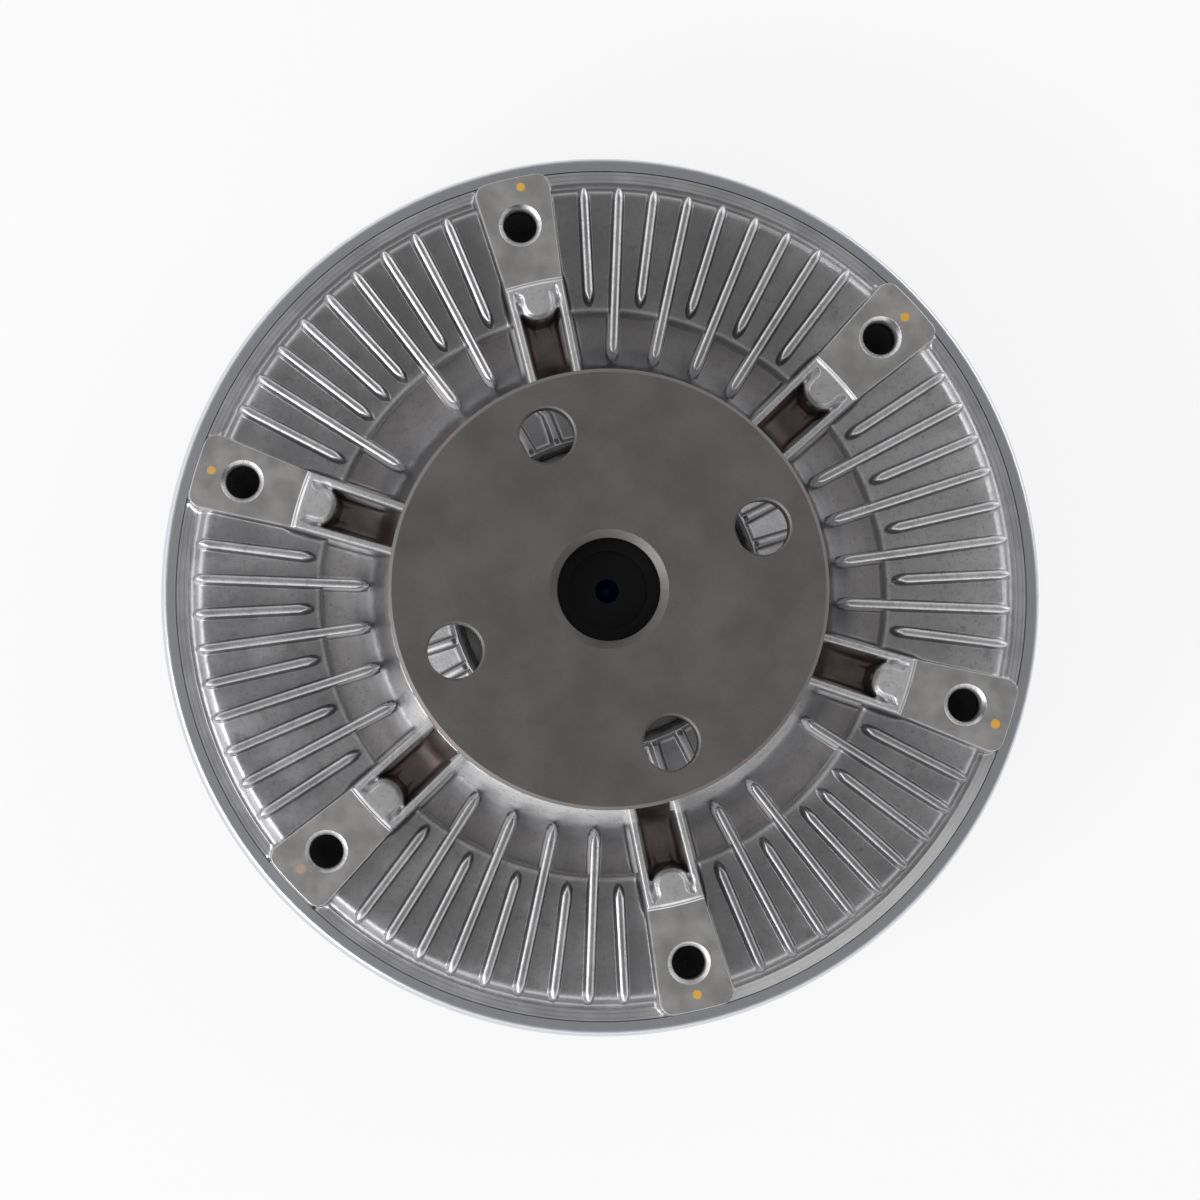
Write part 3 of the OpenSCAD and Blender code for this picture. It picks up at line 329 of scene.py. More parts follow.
BASE = base_profile()
UNDERSIDE = (
    (100.9, -40.0), (102.8, -40.0), (102.8, -44.5), (92.0, -44.5), (92.0, -42.4), (31.0, -42.4),
    (31.0, -40.4), (34.0, -40.4), (34.0, -25.4), (35.5, -25.4), (35.5, -23.0), (34.0, -23.0),
)
ARM_SECTION = np.array([
    COLLAR_EDGE, COLLAR_FOOT, (44.0, -24.1), (RAIL_FROM, ARM_TOP), (PAD_STEP, ARM_TOP),
    (PAD_STEP + 0.1, -25.24), (PAD_STEP + 0.6, -25.68), (PAD_STEP + 0.68, -25.71),
    (PAD_STEP + 0.86, -25.71), (PAD_STEP + 0.92, -25.74), (PAD_STEP + 1.12, -25.97),
    (PAD_STEP_END, PAD_TOP), (101.0, PAD_TOP),
])
HUB_RIB_SECTION = np.array([COLLAR_EDGE, COLLAR_FOOT, (49.8, -27.6)])
EXTRA_RINGS = (
    40.5, 47.0, 52.5, 55.3, 57.4, 59.5, 62.2, 64.8, 66.7, 68.0, 68.4, 68.9, 69.4, 70.2, 71.0, 71.6, 72.1,
    72.6, 73.1, 73.6, 77.3, *PATCH_RINGS, HOLE_CIRCLE, 93.4, 96.05, 96.25, 97.9, 99.3, 99.75, 100.0,
    100.12, PAD_END, 100.34,
)


def ring_radii():
    """Radii of the mesh rings: every corner of the sections, with more where features end."""
    wanted = np.concatenate([BASE[:, 0], ARM_SECTION[:-1, 0], EXTRA_RINGS])
    kept = []
    for radius in np.sort(wanted):
        if not kept or radius - kept[-1] > LEAST_RING_GAP:
            kept.append(float(radius))
    return np.array(kept)


def base_z(r):
    return np.interp(r, BASE[:, 0], BASE[:, 1])


def pocket_z(r):
    """Floor between an arm's rails, which stays low out to the nose."""
    return np.where(r < POCKET_FROM, base_z(np.minimum(r, POCKET_FROM)), POCKET_FLOOR)


def arm_z(r):
    return np.interp(r, ARM_SECTION[:, 0], ARM_SECTION[:, 1])


def hub_rib_z(r):
    return np.interp(r, HUB_RIB_SECTION[:, 0], HUB_RIB_SECTION[:, 1])


def smooth(t):
    t = np.clip(t, 0, 1)
    return t * t * (3 - 2 * t)


def rail_y(r):
    """Distance of a rail's middle line from the arm's, at radius r."""
    splay = math.radians(RAIL_SPLAY)
    rough = RAIL_OFFSET * math.cos(splay) + r * math.sin(splay)
    along = np.sqrt(np.maximum(r * r - rough * rough, 0))
    rail = RAIL_OFFSET * math.cos(splay) + along * math.sin(splay)
    hub = r * math.sin(math.radians(HUB_RIB_ANGLE))
    return hub + (rail - hub) * smooth((r - RAIL_LEAVES_HUB) / (RAIL_FROM - RAIL_LEAVES_HUB))


def nose_half(r):
    """Half the nose's width: a round tip, straight sides, then a flare to the rails."""
    tip = np.sqrt(np.maximum(NOSE_HALF ** 2 - np.maximum(NOSE_CENTRE - r, 0) ** 2, 0))
    flare = smooth((r - NOSE_FLARE[0]) / (NOSE_FLARE[1] - NOSE_FLARE[0]))
    return tip + (rail_y(r) - NOSE_HALF) * flare


def pad_half(r, grow=0.0):
    """Half the pad's width, with its outer corners rounded; its outline can be grown."""
    straight = r * math.sin(math.radians(PAD_HALF_ANGLE))
    corner = PAD_CORNER + grow
    past = np.clip(r - (PAD_END - PAD_CORNER), 0, corner)
    return straight - PAD_CORNER + np.sqrt(corner ** 2 - past ** 2)


def bar(d, half, top, low, draft, edge, fillet=FILLET):
    """Height at distance d from the middle of a drafted bar with rounded edges and a filleted foot."""
    d = np.abs(d)
    slope = math.tan(math.radians(draft))
    rise = np.maximum(top - edge - low, 0)
    foot = half + rise * slope
    bend = np.minimum(fillet, np.maximum(rise, LEAST_BEND))
    turn = np.clip((d - half + edge) / edge, 0, 1)
    crown = top - edge * (1 - np.sqrt(1 - turn * turn))
    wall = top - edge - (d - half) / slope
    reach = np.clip(foot + bend - d, 0, bend)
    foot_z = low + bend - np.sqrt(bend * bend - reach * reach)
    return np.maximum(np.where(d <= half, crown, np.maximum(wall, foot_z)), low)


def block(d, top, low, draft, edge, fillet):
    """The same section for a shape given by its signed distance d, negative inside."""
    inset = 50.0
    return bar(np.maximum(d + inset, 0), inset, top, low, draft, edge, fillet)


def nose_distance(r, y):
    tip = np.hypot(r - NOSE_CENTRE, y) - NOSE_HALF
    return np.where(r < NOSE_CENTRE, tip, y - nose_half(r))


def pad_distance(r, y):
    straight = r * math.sin(math.radians(PAD_HALF_ANGLE))
    past = r - (PAD_END - PAD_CORNER)
    beside = y - (straight - PAD_CORNER)
    corner = np.hypot(past, beside) - PAD_CORNER
    return np.where((past > 0) & (beside > 0), corner, np.maximum(y - straight, r - PAD_END))


def ear_depth(r, y):
    """Depth of the oval recess between the nose and a rail."""
    tilt = math.radians(EAR_TILT)
    along = (r - EAR_AT[0]) * math.cos(tilt) + (y - EAR_AT[1]) * math.sin(tilt)
    across = (y - EAR_AT[1]) * math.cos(tilt) - (r - EAR_AT[0]) * math.sin(tilt)
    reach = np.hypot(along / EAR_HALF[0], across / EAR_HALF[1])
    return EAR_DEPTH * smooth((EAR_RIM - reach) / EAR_SLOPE)


def arm_height(r, local, low):
    """Rails, nose, ledge and pad of the arm at local angle 0."""
    y = np.abs(r * np.sin(local))
    top = arm_z(r)
    near = np.abs(local) < math.radians(ARM_REACH)
    rail = bar(y - rail_y(r), RAIL_HALF, top, low, RAIL_DRAFT, RAIL_EDGE)
    z = np.maximum(low, np.where(r < RAIL_TO, rail, low))
    inside = (y < rail_y(r)) & (r > POCKET_FROM) & (r < RAIL_TO)
    nose = block(nose_distance(r, y), top, low, NOSE_DRAFT, NOSE_EDGE, FILLET)
    around = np.hypot(np.minimum(r - LEDGE_CENTRE, 0), y) - LEDGE_R
    around = np.minimum(around, EAR_SHELF - r)
    ledge = block(around, np.minimum(LEDGE_TOP, top), low, NOSE_DRAFT, NOSE_EDGE, FILLET)
    z = np.where(inside, np.maximum(z, np.maximum(nose, ledge)), z)
    z = np.maximum(z - ear_depth(r, y), low)
    pad = block(pad_distance(r, y), top, low, PAD_DRAFT, PAD_EDGE, PAD_FILLET)
    z = np.where(r > PAD_STEP, np.maximum(z, pad), z)
    return np.where(near, z, low)


def rib_height(r, local, sector, low):
    """Cooling ribs, and the hub ribs that run on from them under the flange."""
    turn = np.mod(np.degrees(local), SECTOR)
    index = np.rint(turn / RIB_PITCH).astype(int)
    lean = np.radians(turn - index * RIB_PITCH)
    along = r * np.cos(lean)
    across = r * np.sin(lean)
    odd = index % 2 == 1
    short = ~odd | ((index == SHORT_MIDDLE_RIB) & np.isin(sector, SHORT_SECTORS))
    inner = np.where(short, SHORT_RIB_INNER, LONG_RIB_INNER)
    taper = NOSE_TAPER * np.clip((inner + RIB_NOSE - along) / RIB_NOSE, 0, 2) ** 2
    beyond = np.maximum(along - RIB_OUTER + RIB_END, 0) * (RIB_HALF / RIB_END)
    beyond = np.where(along < RIB_OUTER, beyond, RIB_HALF + along - RIB_OUTER)
    away = np.hypot(beyond, np.abs(across) + taper)
    z = bar(away, RIB_HALF, RIB_TOP, low, RIB_DRAFT, RIB_EDGE, RIB_FILLET)
    past_hub = np.maximum(along - HUB_RIB_OUTER + RIB_HALF, 0)
    hub = bar(np.hypot(past_hub, across), RIB_HALF, hub_rib_z(r), low, RIB_DRAFT, RIB_EDGE, RIB_FILLET)
    z = np.where(odd & (r < HUB_RIB_REACH), np.maximum(z, hub), z)
    inside = (index >= FIRST_RIB) & (index <= LAST_RIB)
    return np.where(inside, np.maximum(z, low), low)


def rib_offsets(rise):
    """Distances from a rib's middle of the mesh columns on one side of it."""
    slope = math.tan(math.radians(RIB_DRAFT))
    foot = RIB_HALF + max(rise, LEAST_RISE) * slope
    crown = [RIB_HALF - RIB_EDGE * (1 - math.sin(math.radians(lean))) for lean in CROWN_LEANS]
    fillet = [foot - RIB_FILLET * slope, foot + FILLET_SHARE * RIB_FILLET, foot + RIB_FILLET]
    return np.array(crown + fillet)


def rail_offsets(r):
    """Offsets of an arm's columns where the rails stand: pocket, inner wall, top, outer wall."""
    slope = math.tan(math.radians(RAIL_DRAFT))
    middle = float(rail_y(r))
    top = float(arm_z(r)) - RAIL_EDGE
    inner = RAIL_HALF + max(top - float(pocket_z(r)), LEAST_RISE) * slope
    outer = RAIL_HALF + max(top - float(base_z(r)), LEAST_RISE) * slope
    sides = [middle - inner - FILLET, middle - inner - FILLET_SHARE * FILLET,
             middle - inner + FILLET * slope, middle - RAIL_HALF + EDGE_SHARE * RAIL_EDGE,
             middle - RAIL_HALF + RAIL_EDGE, middle + RAIL_HALF - RAIL_EDGE,
             middle + RAIL_HALF - EDGE_SHARE * RAIL_EDGE, middle + outer - FILLET * slope,
             middle + outer + FILLET_SHARE * FILLET, middle + outer + FILLET,
             middle + outer + FILLET + GUARD]
    inner_wall = RAIL_COLUMN - POCKET_COLUMNS
    if sides[0] < LEAST_POCKET:
        sides[:inner_wall + 1] = list(np.linspace(LEAST_POCKET, sides[inner_wall], inner_wall + 1))
    pocket = [sides[0] * step / POCKET_COLUMNS for step in range(POCKET_COLUMNS)]
    return np.array(pocket + sides)


def nose_offsets(r):
    """The same columns drawn in along the nose's outline."""
    offsets = rail_offsets(r)
    rail_edge = offsets[RAIL_COLUMN]
    half = min(max(float(nose_half(r)), LEAST_NOSE), rail_edge - NOSE_ROOM)
    head = [0.0, 0.5 * (half - NOSE_EDGE), half - NOSE_EDGE, half - 0.5 * NOSE_EDGE]
    side = np.linspace(half - NOSE_LIP, rail_edge, RAIL_COLUMN + 1 - len(head))
    offsets[:RAIL_COLUMN + 1] = np.concatenate([head, side])
    return offsets


def pad_offsets(r):
    """The same columns spread over the pad and down its side."""
    half = float(pad_half(r))
    foot = (PAD_TOP - PAD_EDGE - float(base_z(r))) * math.tan(math.radians(PAD_DRAFT))
    grown = (-EDGE_SHARE * PAD_EDGE, foot, foot + FILLET_SHARE * PAD_FILLET, foot + PAD_FILLET,
             foot + PAD_FILLET + GUARD)
    top = [(half - PAD_INSET) * step / (PAD_COLUMNS - 1) for step in range(PAD_COLUMNS)]
    side = [float(pad_half(r, grow)) + PAD_SIDE_STEP * step for step, grow in enumerate(grown)]
    return np.array(top + side)


def arm_offsets(r):
    """Columns of half an arm at radius r, blended from rails to nose to pad."""
    nose_from, nose_full = NOSE_COLUMNS
    if r <= nose_full:
        offsets = rail_offsets(r)
        share = smooth((r - nose_from) / (nose_full - nose_from))
        return offsets + (nose_offsets(r) - offsets) * share
    if r <= PAD_STEP:
        return nose_offsets(r)
    share = smooth((r - PAD_STEP) / COLUMN_BLEND)
    return nose_offsets(PAD_STEP) * (r / PAD_STEP) * (1 - share) + pad_offsets(r) * share


def sector_angles(r):
    """Angles of one sector's columns at radius r, from the middle of its pad."""
    arm = np.arcsin(arm_offsets(r) / r)
    angles = list(-arm[:0:-1]) + list(arm)
    low = float(base_z(r))
    odd = rib_offsets((RIB_TOP if r > HUB_RIB_REACH else float(hub_rib_z(r))) - RIB_EDGE - low)
    even = rib_offsets(RIB_TOP - RIB_EDGE - low)
    pitch = math.radians(RIB_PITCH)
    gap = math.radians(COLUMN_GAP)
    odd_turn = np.arcsin(odd / r)
    room = pitch - odd_turn[-1] - gap
    even_turn = np.arcsin(even / r)
    even_turn = even_turn * min(1.0, room / even_turn[-1])
    natural = float(smooth((r - SQUEEZED_TO) / COLUMN_BLEND))
    for index in range(FIRST_RIB, LAST_RIB + 1):
        side = odd_turn if index % 2 else even_turn
        turns = np.concatenate([-side[::-1], side])
        middle = index * pitch
        placed = middle + turns
        if index in (FIRST_RIB, LAST_RIB):
            near = arm[-1] + 2 * gap
            far = (FIRST_RIB + 1) * pitch - odd_turn[-1] - gap
            squeezed = near + (turns / side[-1] + 1) / 2 * (far - near)
            if index == LAST_RIB:
                squeezed = math.radians(SECTOR) - squeezed[::-1]
            placed = squeezed * (1 - natural) + placed * natural
        angles += list(placed)
    return np.array(angles)


def housing_grid():
    """The radii of the housing's rings, its points as radius, angle and height, and a sector's columns."""
    radii = ring_radii()
    sectors = [sector_angles(r) for r in radii]
    clock = [math.radians(PAD_CLOCK + SECTOR * pad) for pad in range(PADS)]
    local = np.array([np.tile(turns, PADS) for turns in sectors])
    columns = len(sectors[0])
    sector = np.repeat(np.arange(PADS), columns)[None, :]
    start = np.repeat(clock, columns)[None, :]
    r = np.repeat(radii[:, None], local.shape[1], axis=1)
    centred = np.mod(local + math.pi / PADS, 2 * math.pi / PADS) - math.pi / PADS
    y = np.abs(r * np.sin(centred))
    pocket = (y < rail_y(r)) & (np.abs(centred) < math.radians(ARM_REACH))
    low = np.where(pocket, pocket_z(r), base_z(r))
    z = np.maximum(arm_height(r, centred, low), rib_height(r, local, sector, low))
    return radii, r, start + local, z, columns


def hole_ring(centre, radii, z):
    """Points round a hole at height z, each with its own radius."""
    return [(centre[0] + radius * math.cos(t), centre[1] + radius * math.sin(t), z)
            for radius, t in zip(radii, HOLE_TURNS)]


def fan_hole(points, faces, kinds, loop, angle):
    """Joins a tapped hole to the loop of pad points around it."""
    centre = (HOLE_CIRCLE * math.cos(angle), HOLE_CIRCLE * math.sin(angle))
    depths = np.arange(THREAD_FROM, HOLE_BOTTOM, -THREAD_STEP)
    first = len(points)
    for radius, z in MOUTH_RINGS:
        points += hole_ring(centre, [radius] * HOLE_SIDES, z)
    for z in depths:
        phase = 2 * math.pi * z / THREAD_PITCH
        thread = [HOLE_R + THREAD_DEPTH * (0.5 + 0.5 * math.cos(phase + t)) for t in HOLE_TURNS]
        points += hole_ring(centre, thread, z)
    for radius, z in END_RINGS:
        points += hole_ring(centre, [radius] * HOLE_SIDES, z)
    levels = len(MOUTH_RINGS) + len(depths) + len(END_RINGS)
    for level in range(levels - 1):
        for side in range(HOLE_SIDES):
            a = first + level * HOLE_SIDES + side
            b = first + level * HOLE_SIDES + (side + 1) % HOLE_SIDES
            faces.append((a, b, b + HOLE_SIDES, a + HOLE_SIDES))
            kinds.append(TURNED if level < len(MOUTH_RINGS) - 1 else HOLE)
    last = first + (levels - 1) * HOLE_SIDES
    faces.append(tuple(last + side for side in range(HOLE_SIDES)))
    kinds.append(HOLE)
    join_loops(points, faces, kinds, loop, [first + side for side in range(HOLE_SIDES)], centre)


def join_loops(points, faces, kinds, outer, inner, centre):
    """Fills the flat ring between two loops with triangles, by angle about the centre."""

    def by_angle(loop):
        turned = [(math.atan2(points[i][1] - centre[1], points[i][0] - centre[0]), i) for i in loop]
        return sorted(turned)

    out = by_angle(outer)
    into = by_angle(inner)
    out.append((out[0][0] + 2 * math.pi, out[0][1]))
    into.append((into[0][0] + 2 * math.pi, into[0][1]))
    i = 0
    j = 0
    while i < len(out) - 1 or j < len(into) - 1:
        step_out = j == len(into) - 1 or (i < len(out) - 1 and out[i + 1][0] <= into[j + 1][0])
        if step_out:
            faces.append((into[j][1], out[i][1], out[i + 1][1]))
            i += 1
        else:
            faces.append((into[j][1], out[i][1], into[j + 1][1]))
            j += 1
        kinds.append(PAD_FACE)


def face_kind(r, z, y):
    """Finish of a face that lies flat on an arm or on the rim."""
    if PAD_STEP + TOUCH < r < PAD_STEP_END and z > PAD_TOP - TOUCH:
        return TURNED
    on_top = abs(z - float(arm_z(r))) < LEVEL
    if r > PAD_FACE_FROM and on_top and y < float(pad_half(min(r, PAD_END))) + TOUCH:
        return PAD_FACE
    return TURNED if r > TURNED_FROM and z < TURNED_BELOW else CAST


def grid_kind(r, z, angle, ring, column, beside, columns):
    """Finish of one face of the grid, from the middle of its corners."""
    if ring >= len(r):
        return CAST
    if ring == len(r) - 1:
        return TURNED
    if column % columns >= 2 * ARM_SIDE and r[ring][column] <= RIM_FROM:
        return CAST
    pad_angle = math.radians(PAD_CLOCK + SECTOR * (column // columns))
    middle_r = (r[ring][column] + r[ring + 1][column]) / 2
    corners = (z[ring][column], z[ring + 1][column], z[ring][beside], z[ring + 1][beside])
    height = sum(corners) / len(corners)
    turn = (angle[ring][column] + angle[ring + 1][column]) / 2 - pad_angle
    y = abs(middle_r * math.sin(turn))
    # Deep faces in an arm's pocket get its painted shade
    if middle_r < PAD_STEP and y < float(rail_y(middle_r)) - RAIL_HALF and height < POCKET_SHADE_TOP:
        return POCKET
    if max(corners) - min(corners) > STEEP and middle_r < RIM_FROM:
        return CAST
    return face_kind(middle_r, height, y)


def grid_points(r, angle, z):
    """Points of the top's rings, then of the underside's."""
    points = []
    for ring in range(len(r)):
        xs = r[ring] * np.cos(angle[ring])
        ys = r[ring] * np.sin(angle[ring])
        points += list(zip(xs.tolist(), ys.tolist(), z[ring].tolist()))
    for radius, level in UNDERSIDE:
        turns = angle[-1] if radius > UNDERSIDE_SPLIT else angle[0]
        points += [(radius * math.cos(a), radius * math.sin(a), level) for a in turns]
    return points


def hole_loop(count, ring_a, ring_b, first, last):
    """Grid points round the patch of a pad that is left open for its hole."""
    loop = [ring_a * count + column for column in range(first, last + 1)]
    loop += [ring * count + last for ring in range(ring_a + 1, ring_b + 1)]
    loop += [ring_b * count + column for column in range(first, last)]
    loop += [ring * count + first for ring in range(ring_a + 1, ring_b)]
    return loop


def rear_housing_mesh():
    """The die-cast rear housing as one closed mesh: points, faces and the finish of each face."""
    radii, r, angle, z, columns = housing_grid()
    points = grid_points(r, angle, z)
    count = angle.shape[1]
    ring_a, ring_b = [int(np.argmin(np.abs(radii - radius))) for radius in PATCH_RINGS]
    patch = range(ARM_SIDE - PATCH_COLUMNS, ARM_SIDE + PATCH_COLUMNS)
    faces = []
    kinds = []
    total = len(radii) + len(UNDERSIDE)
    for ring in range(total):
        after = (ring + 1) % total
        for column in range(count):
            if ring_a <= ring < ring_b and column % columns in patch:
                continue
            beside = (column + 1) % count
            faces.append((ring * count + column, after * count + column,
                          after * count + beside, ring * count + beside))
            kinds.append(grid_kind(r, z, angle, ring, column, beside, columns))
    for pad in range(PADS):
        loop = hole_loop(count, ring_a, ring_b, pad * columns + patch.start, pad * columns + patch.stop)
        fan_hole(points, faces, kinds, loop, math.radians(PAD_CLOCK + SECTOR * pad))
    return points, faces, kinds


def new_mesh(name, points, faces):
    """A smooth shaded object from points in millimetres."""
    mesh = bpy.data.meshes.new(name)
    mesh.from_pydata([Vector(p) * MM for p in points], [], faces)
    mesh.validate()
    mesh.update()
    mesh.shade_smooth()
    obj = bpy.data.objects.new(name, mesh)
    bpy.context.scene.collection.objects.link(obj)
    return obj


# Material nodes

def plug(tree, socket, value):
    """Sets a socket, or links it where the value is another socket."""
    if isinstance(value, bpy.types.NodeSocket):
        tree.links.new(value, socket)
    else:
        socket.default_value = value


def add(tree, kind, settings=None, inputs=None):
    """A node with its settings and inputs; returns the node."""
    node = tree.nodes.new(kind)
    for name, value in (settings or {}).items():
        setattr(node, name, value)
    for name, value in (inputs or {}).items():
        plug(tree, node.inputs[name], value)
    return node


def maths(tree, operation, a, b=0.0):
    node = add(tree, "ShaderNodeMath", {"operation": operation}, {0: a, 1: b})
    return node.outputs[0]


def vector_maths(tree, operation, a, b=(0, 0, 0)):
    return add(tree, "ShaderNodeVectorMath", {"operation": operation}, {0: a, 1: b})


def spread(tree, value, low, high, to_low=0.0, to_high=1.0):
    """The value mapped smoothly from low..high."""
    node = add(tree, "ShaderNodeMapRange", {"interpolation_type": "SMOOTHSTEP"},
               {"Value": value, "From Min": low, "From Max": high, "To Min": to_low, "To Max": to_high})
    return node.outputs[0]


class Finish:
    """A procedural material, with sockets that tell where on the part a point lies."""

    def __init__(self, name):
        self.material = bpy.data.materials.new(name)
        self.material.use_nodes = True
        self.tree = self.material.node_tree
        self.place = add(self.tree, "ShaderNodeTexCoord").outputs["Object"]
        axes = add(self.tree, "ShaderNodeSeparateXYZ", None, {0: self.place}).outputs
        self.x, self.y, self.height = axes[0], axes[1], axes[2]
        self.flat = vector_maths(self.tree, "MULTIPLY", self.place, (1, 1, 0)).outputs[0]
        self.radius = vector_maths(self.tree, "LENGTH", self.flat).outputs["Value"]

    def noise(self, scale, detail=3.0, roughness=0.55):
        """Cloudy noise; the scale is in cells a metre."""
        node = add(self.tree, "ShaderNodeTexNoise", None,
                   {"Vector": self.place, "Scale": scale, "Detail": detail, "Roughness": roughness})
        return node.outputs[0]

    def lines(self, scale, detail=4.0):
        """Concentric turned lines: noise along the radius alone."""
        node = add(self.tree, "ShaderNodeTexNoise", {"noise_dimensions": "1D"},
                   {"W": self.radius, "Scale": scale, "Detail": detail, "Roughness": LINE_ROUGHNESS})
        return node.outputs[0]

    def spread(self, value, low, high, to_low=0.0, to_high=1.0):
        return spread(self.tree, value, low, high, to_low, to_high)

    def times(self, *values):
        """Product of sockets and numbers."""
        total = values[0]
        for value in values[1:]:
            total = maths(self.tree, "MULTIPLY", total, value)
        return total

    def most(self, a, b):
        return maths(self.tree, "MAXIMUM", a, b)

    def rest(self, share):
        """What a share leaves of one."""
        return maths(self.tree, "SUBTRACT", 1.0, share)

    def mask(self, band, share=1.0):
        """The share inside a band, nothing outside it."""
        fades = [self.spread(getattr(self, axis), out * MM, full * MM) for axis, out, full in band]
        return self.times(*fades) if share == 1.0 else self.times(*fades, share)

    def mix(self, share, a, b):
        """Colour a going over to b by share."""
        node = add(self.tree, "ShaderNodeMix", {"data_type": "RGBA"})
        plug(self.tree, node.inputs[MIX_SHARE], share)
        for index, colour in zip(MIX_COLOURS, (a, b)):
            if not isinstance(colour, bpy.types.NodeSocket):
                colour = (*colour, 1.0)
            plug(self.tree, node.inputs[index], colour)
        return node.outputs[MIX_RESULT]

    def clouded(self, cloud, dark, light):
        """Two shades of a colour, parted by a cloud of noise."""
        return self.mix(self.spread(cloud, *MIDDLE), dark, light)

    def coats(self, colour, coats):
        """The colour with each coat of a list laid over it: band, share, colour."""
        for band, share, shade in coats:
            colour = self.mix(self.mask(band, share), colour, shade)
        return colour

    def bump(self, height, strength, depth, under=None):
        """Normal of a rough skin; the depth is in millimetres."""
        inputs = {"Height": height, "Strength": strength, "Distance": depth * MM}
        if under is not None:
            inputs["Normal"] = under
        return add(self.tree, "ShaderNodeBump", None, inputs).outputs[0]

    def done(self, colour, metallic, roughness, normal):
        """Plugs the four looks into the shader and gives the material."""
        shader = self.tree.nodes["Principled BSDF"]
        looks = {"Base Color": colour, "Metallic": metallic, "Roughness": roughness, "Normal": normal}
        for name, value in looks.items():
            plug(self.tree, shader.inputs[name], value)
        return self.material


def crest_highlight_mask(skin):
    """Painted highlight along the rib crests, weaker far to the left and at the lower right."""
    left = skin.spread(skin.x, CREST_HIGHLIGHT_LEFT[0] * MM, CREST_HIGHLIGHT_LEFT[1] * MM, 0.45, 1.0)
    lower_right = skin.spread(skin.mask(LOWER_RIGHT), 0.0, 1.0, 1.0, 0.25)
    return skin.times(skin.mask(CREST_HIGHLIGHT), left, lower_right, 0.9)


def pale_light_mask(skin):
    """Painted light as pale matt skin: lower hub cove, rail roots, floor step, flanks and tips of the long
    ribs.
    """
    pale_light = skin.most(skin.mask(COVE), skin.mask(RAIL_ROOT, 0.5))
    pale_light = skin.most(pale_light, skin.mask(FLOOR_STEP, 0.7))
    flank = skin.most(skin.mask(RIB_FLANK), skin.mask(RIB_TIP))
    return skin.most(pale_light, skin.times(flank, 0.95))


def cast_aluminium():
    """As-cast skin: sandy grain, darker drag stains, brown bloom low between the ribs, painted shade and
    painted light.
    """
    skin = Finish("cast_aluminium")
    cloud = skin.noise(70, 5)
    grain = skin.noise(1500, 4, 0.7)
    colour = skin.mix(skin.spread(cloud, *CLOUDS), (0.47, 0.47, 0.485), (0.63, 0.63, 0.645))
    # Painted shade: the skin darkens from the rim in towards the hub
    colour = skin.mix(skin.mask(SHADED_INNER_SIDE, 0.3), colour, (0.34, 0.34, 0.35))
    stain = skin.spread(skin.noise(190, 6, 0.65), 0.56, 0.72, 0.0, 0.55)
    colour = skin.mix(stain, colour, (0.24, 0.23, 0.23))
    patch = skin.spread(skin.noise(110), *CLOUDS, 0.1, 0.7)
    colour = skin.mix(skin.times(skin.mask(INNER_FLOOR), patch), colour, (0.43, 0.38, 0.385))
    colour = skin.coats(colour, FLOOR_COATS)
    # Painted highlight along the rib crests
    colour = skin.mix(crest_highlight_mask(skin), colour, (0.90, 0.90, 0.91))
    colour = skin.coats(colour, HUB_COATS)
    # Painted light: pale, less metallic skin where the light falls brightest
    pale_light = pale_light_mask(skin)
    colour = skin.mix(pale_light, colour, (0.80, 0.80, 0.81))
    mottle = skin.spread(skin.noise(620, 4, 0.6), 0.50, 0.66, 0.0, 0.22)
    colour = skin.mix(mottle, colour, (0.24, 0.235, 0.235))
    colour = skin.mix(skin.spread(grain, *SPECKS, 0.7, 0.0), colour, SPECK_COLOUR)
    metallic = skin.spread(pale_light, 0.0, 1.0, 0.90, 0.30)
    rough = skin.most(skin.spread(cloud, *MIDDLE, 0.30, 0.44), skin.mask(GLARE, 0.6))
    sand = skin.bump(grain, 0.35, 0.12)
    return skin.done(colour, metallic, rough, skin.bump(skin.noise(420), 0.25, 0.3, sand))


def paint_mask(pad):
    """One where a paint dot lies, with a ragged edge."""
    ragged = pad.times(pad.noise(900, 2), PAINT_RAGGED * MM)
    total = 0.0
    for index, (radius, turn, size, strength) in enumerate(PAINT_DOTS):
        angle = math.radians(PAD_CLOCK + SECTOR * index + turn)
        spot = (radius * MM * math.cos(angle), radius * MM * math.sin(angle), 0.0)
        away = vector_maths(pad.tree, "DISTANCE", pad.flat, spot).outputs["Value"]
        away = maths(pad.tree, "ADD", away, ragged)
        dot = pad.spread(away, size * PAINT_EDGE[0] * MM, size * PAINT_EDGE[1] * MM, 0.0, strength)
        total = pad.most(total, dot)
    return total


def machined_pad():
    """Turned pad face, satin and warm, with a paint dot on each pad."""
    pad = Finish("machined_pad")
    lines = pad.lines(5200)
    cloud = pad.noise(160, 4)
    colour = pad.clouded(cloud, (0.50, 0.493, 0.487), (0.59, 0.583, 0.577))
    colour = pad.mix(pad.spread(lines, *MIDDLE, 0.0, 0.35), colour, (0.41, 0.40, 0.39))
    speck = pad.spread(pad.noise(1900, 3, 0.7), 0.62, 0.72, 0.0, 0.45)
    colour = pad.mix(speck, colour, (0.27, 0.255, 0.24))
    paint = paint_mask(pad)
    colour = pad.mix(paint, colour, PAINT_COLOUR)
    rough = pad.spread(cloud, *MIDDLE, 0.38, 0.48)
    return pad.done(colour, pad.rest(paint), rough, pad.bump(lines, 0.22, 0.05))


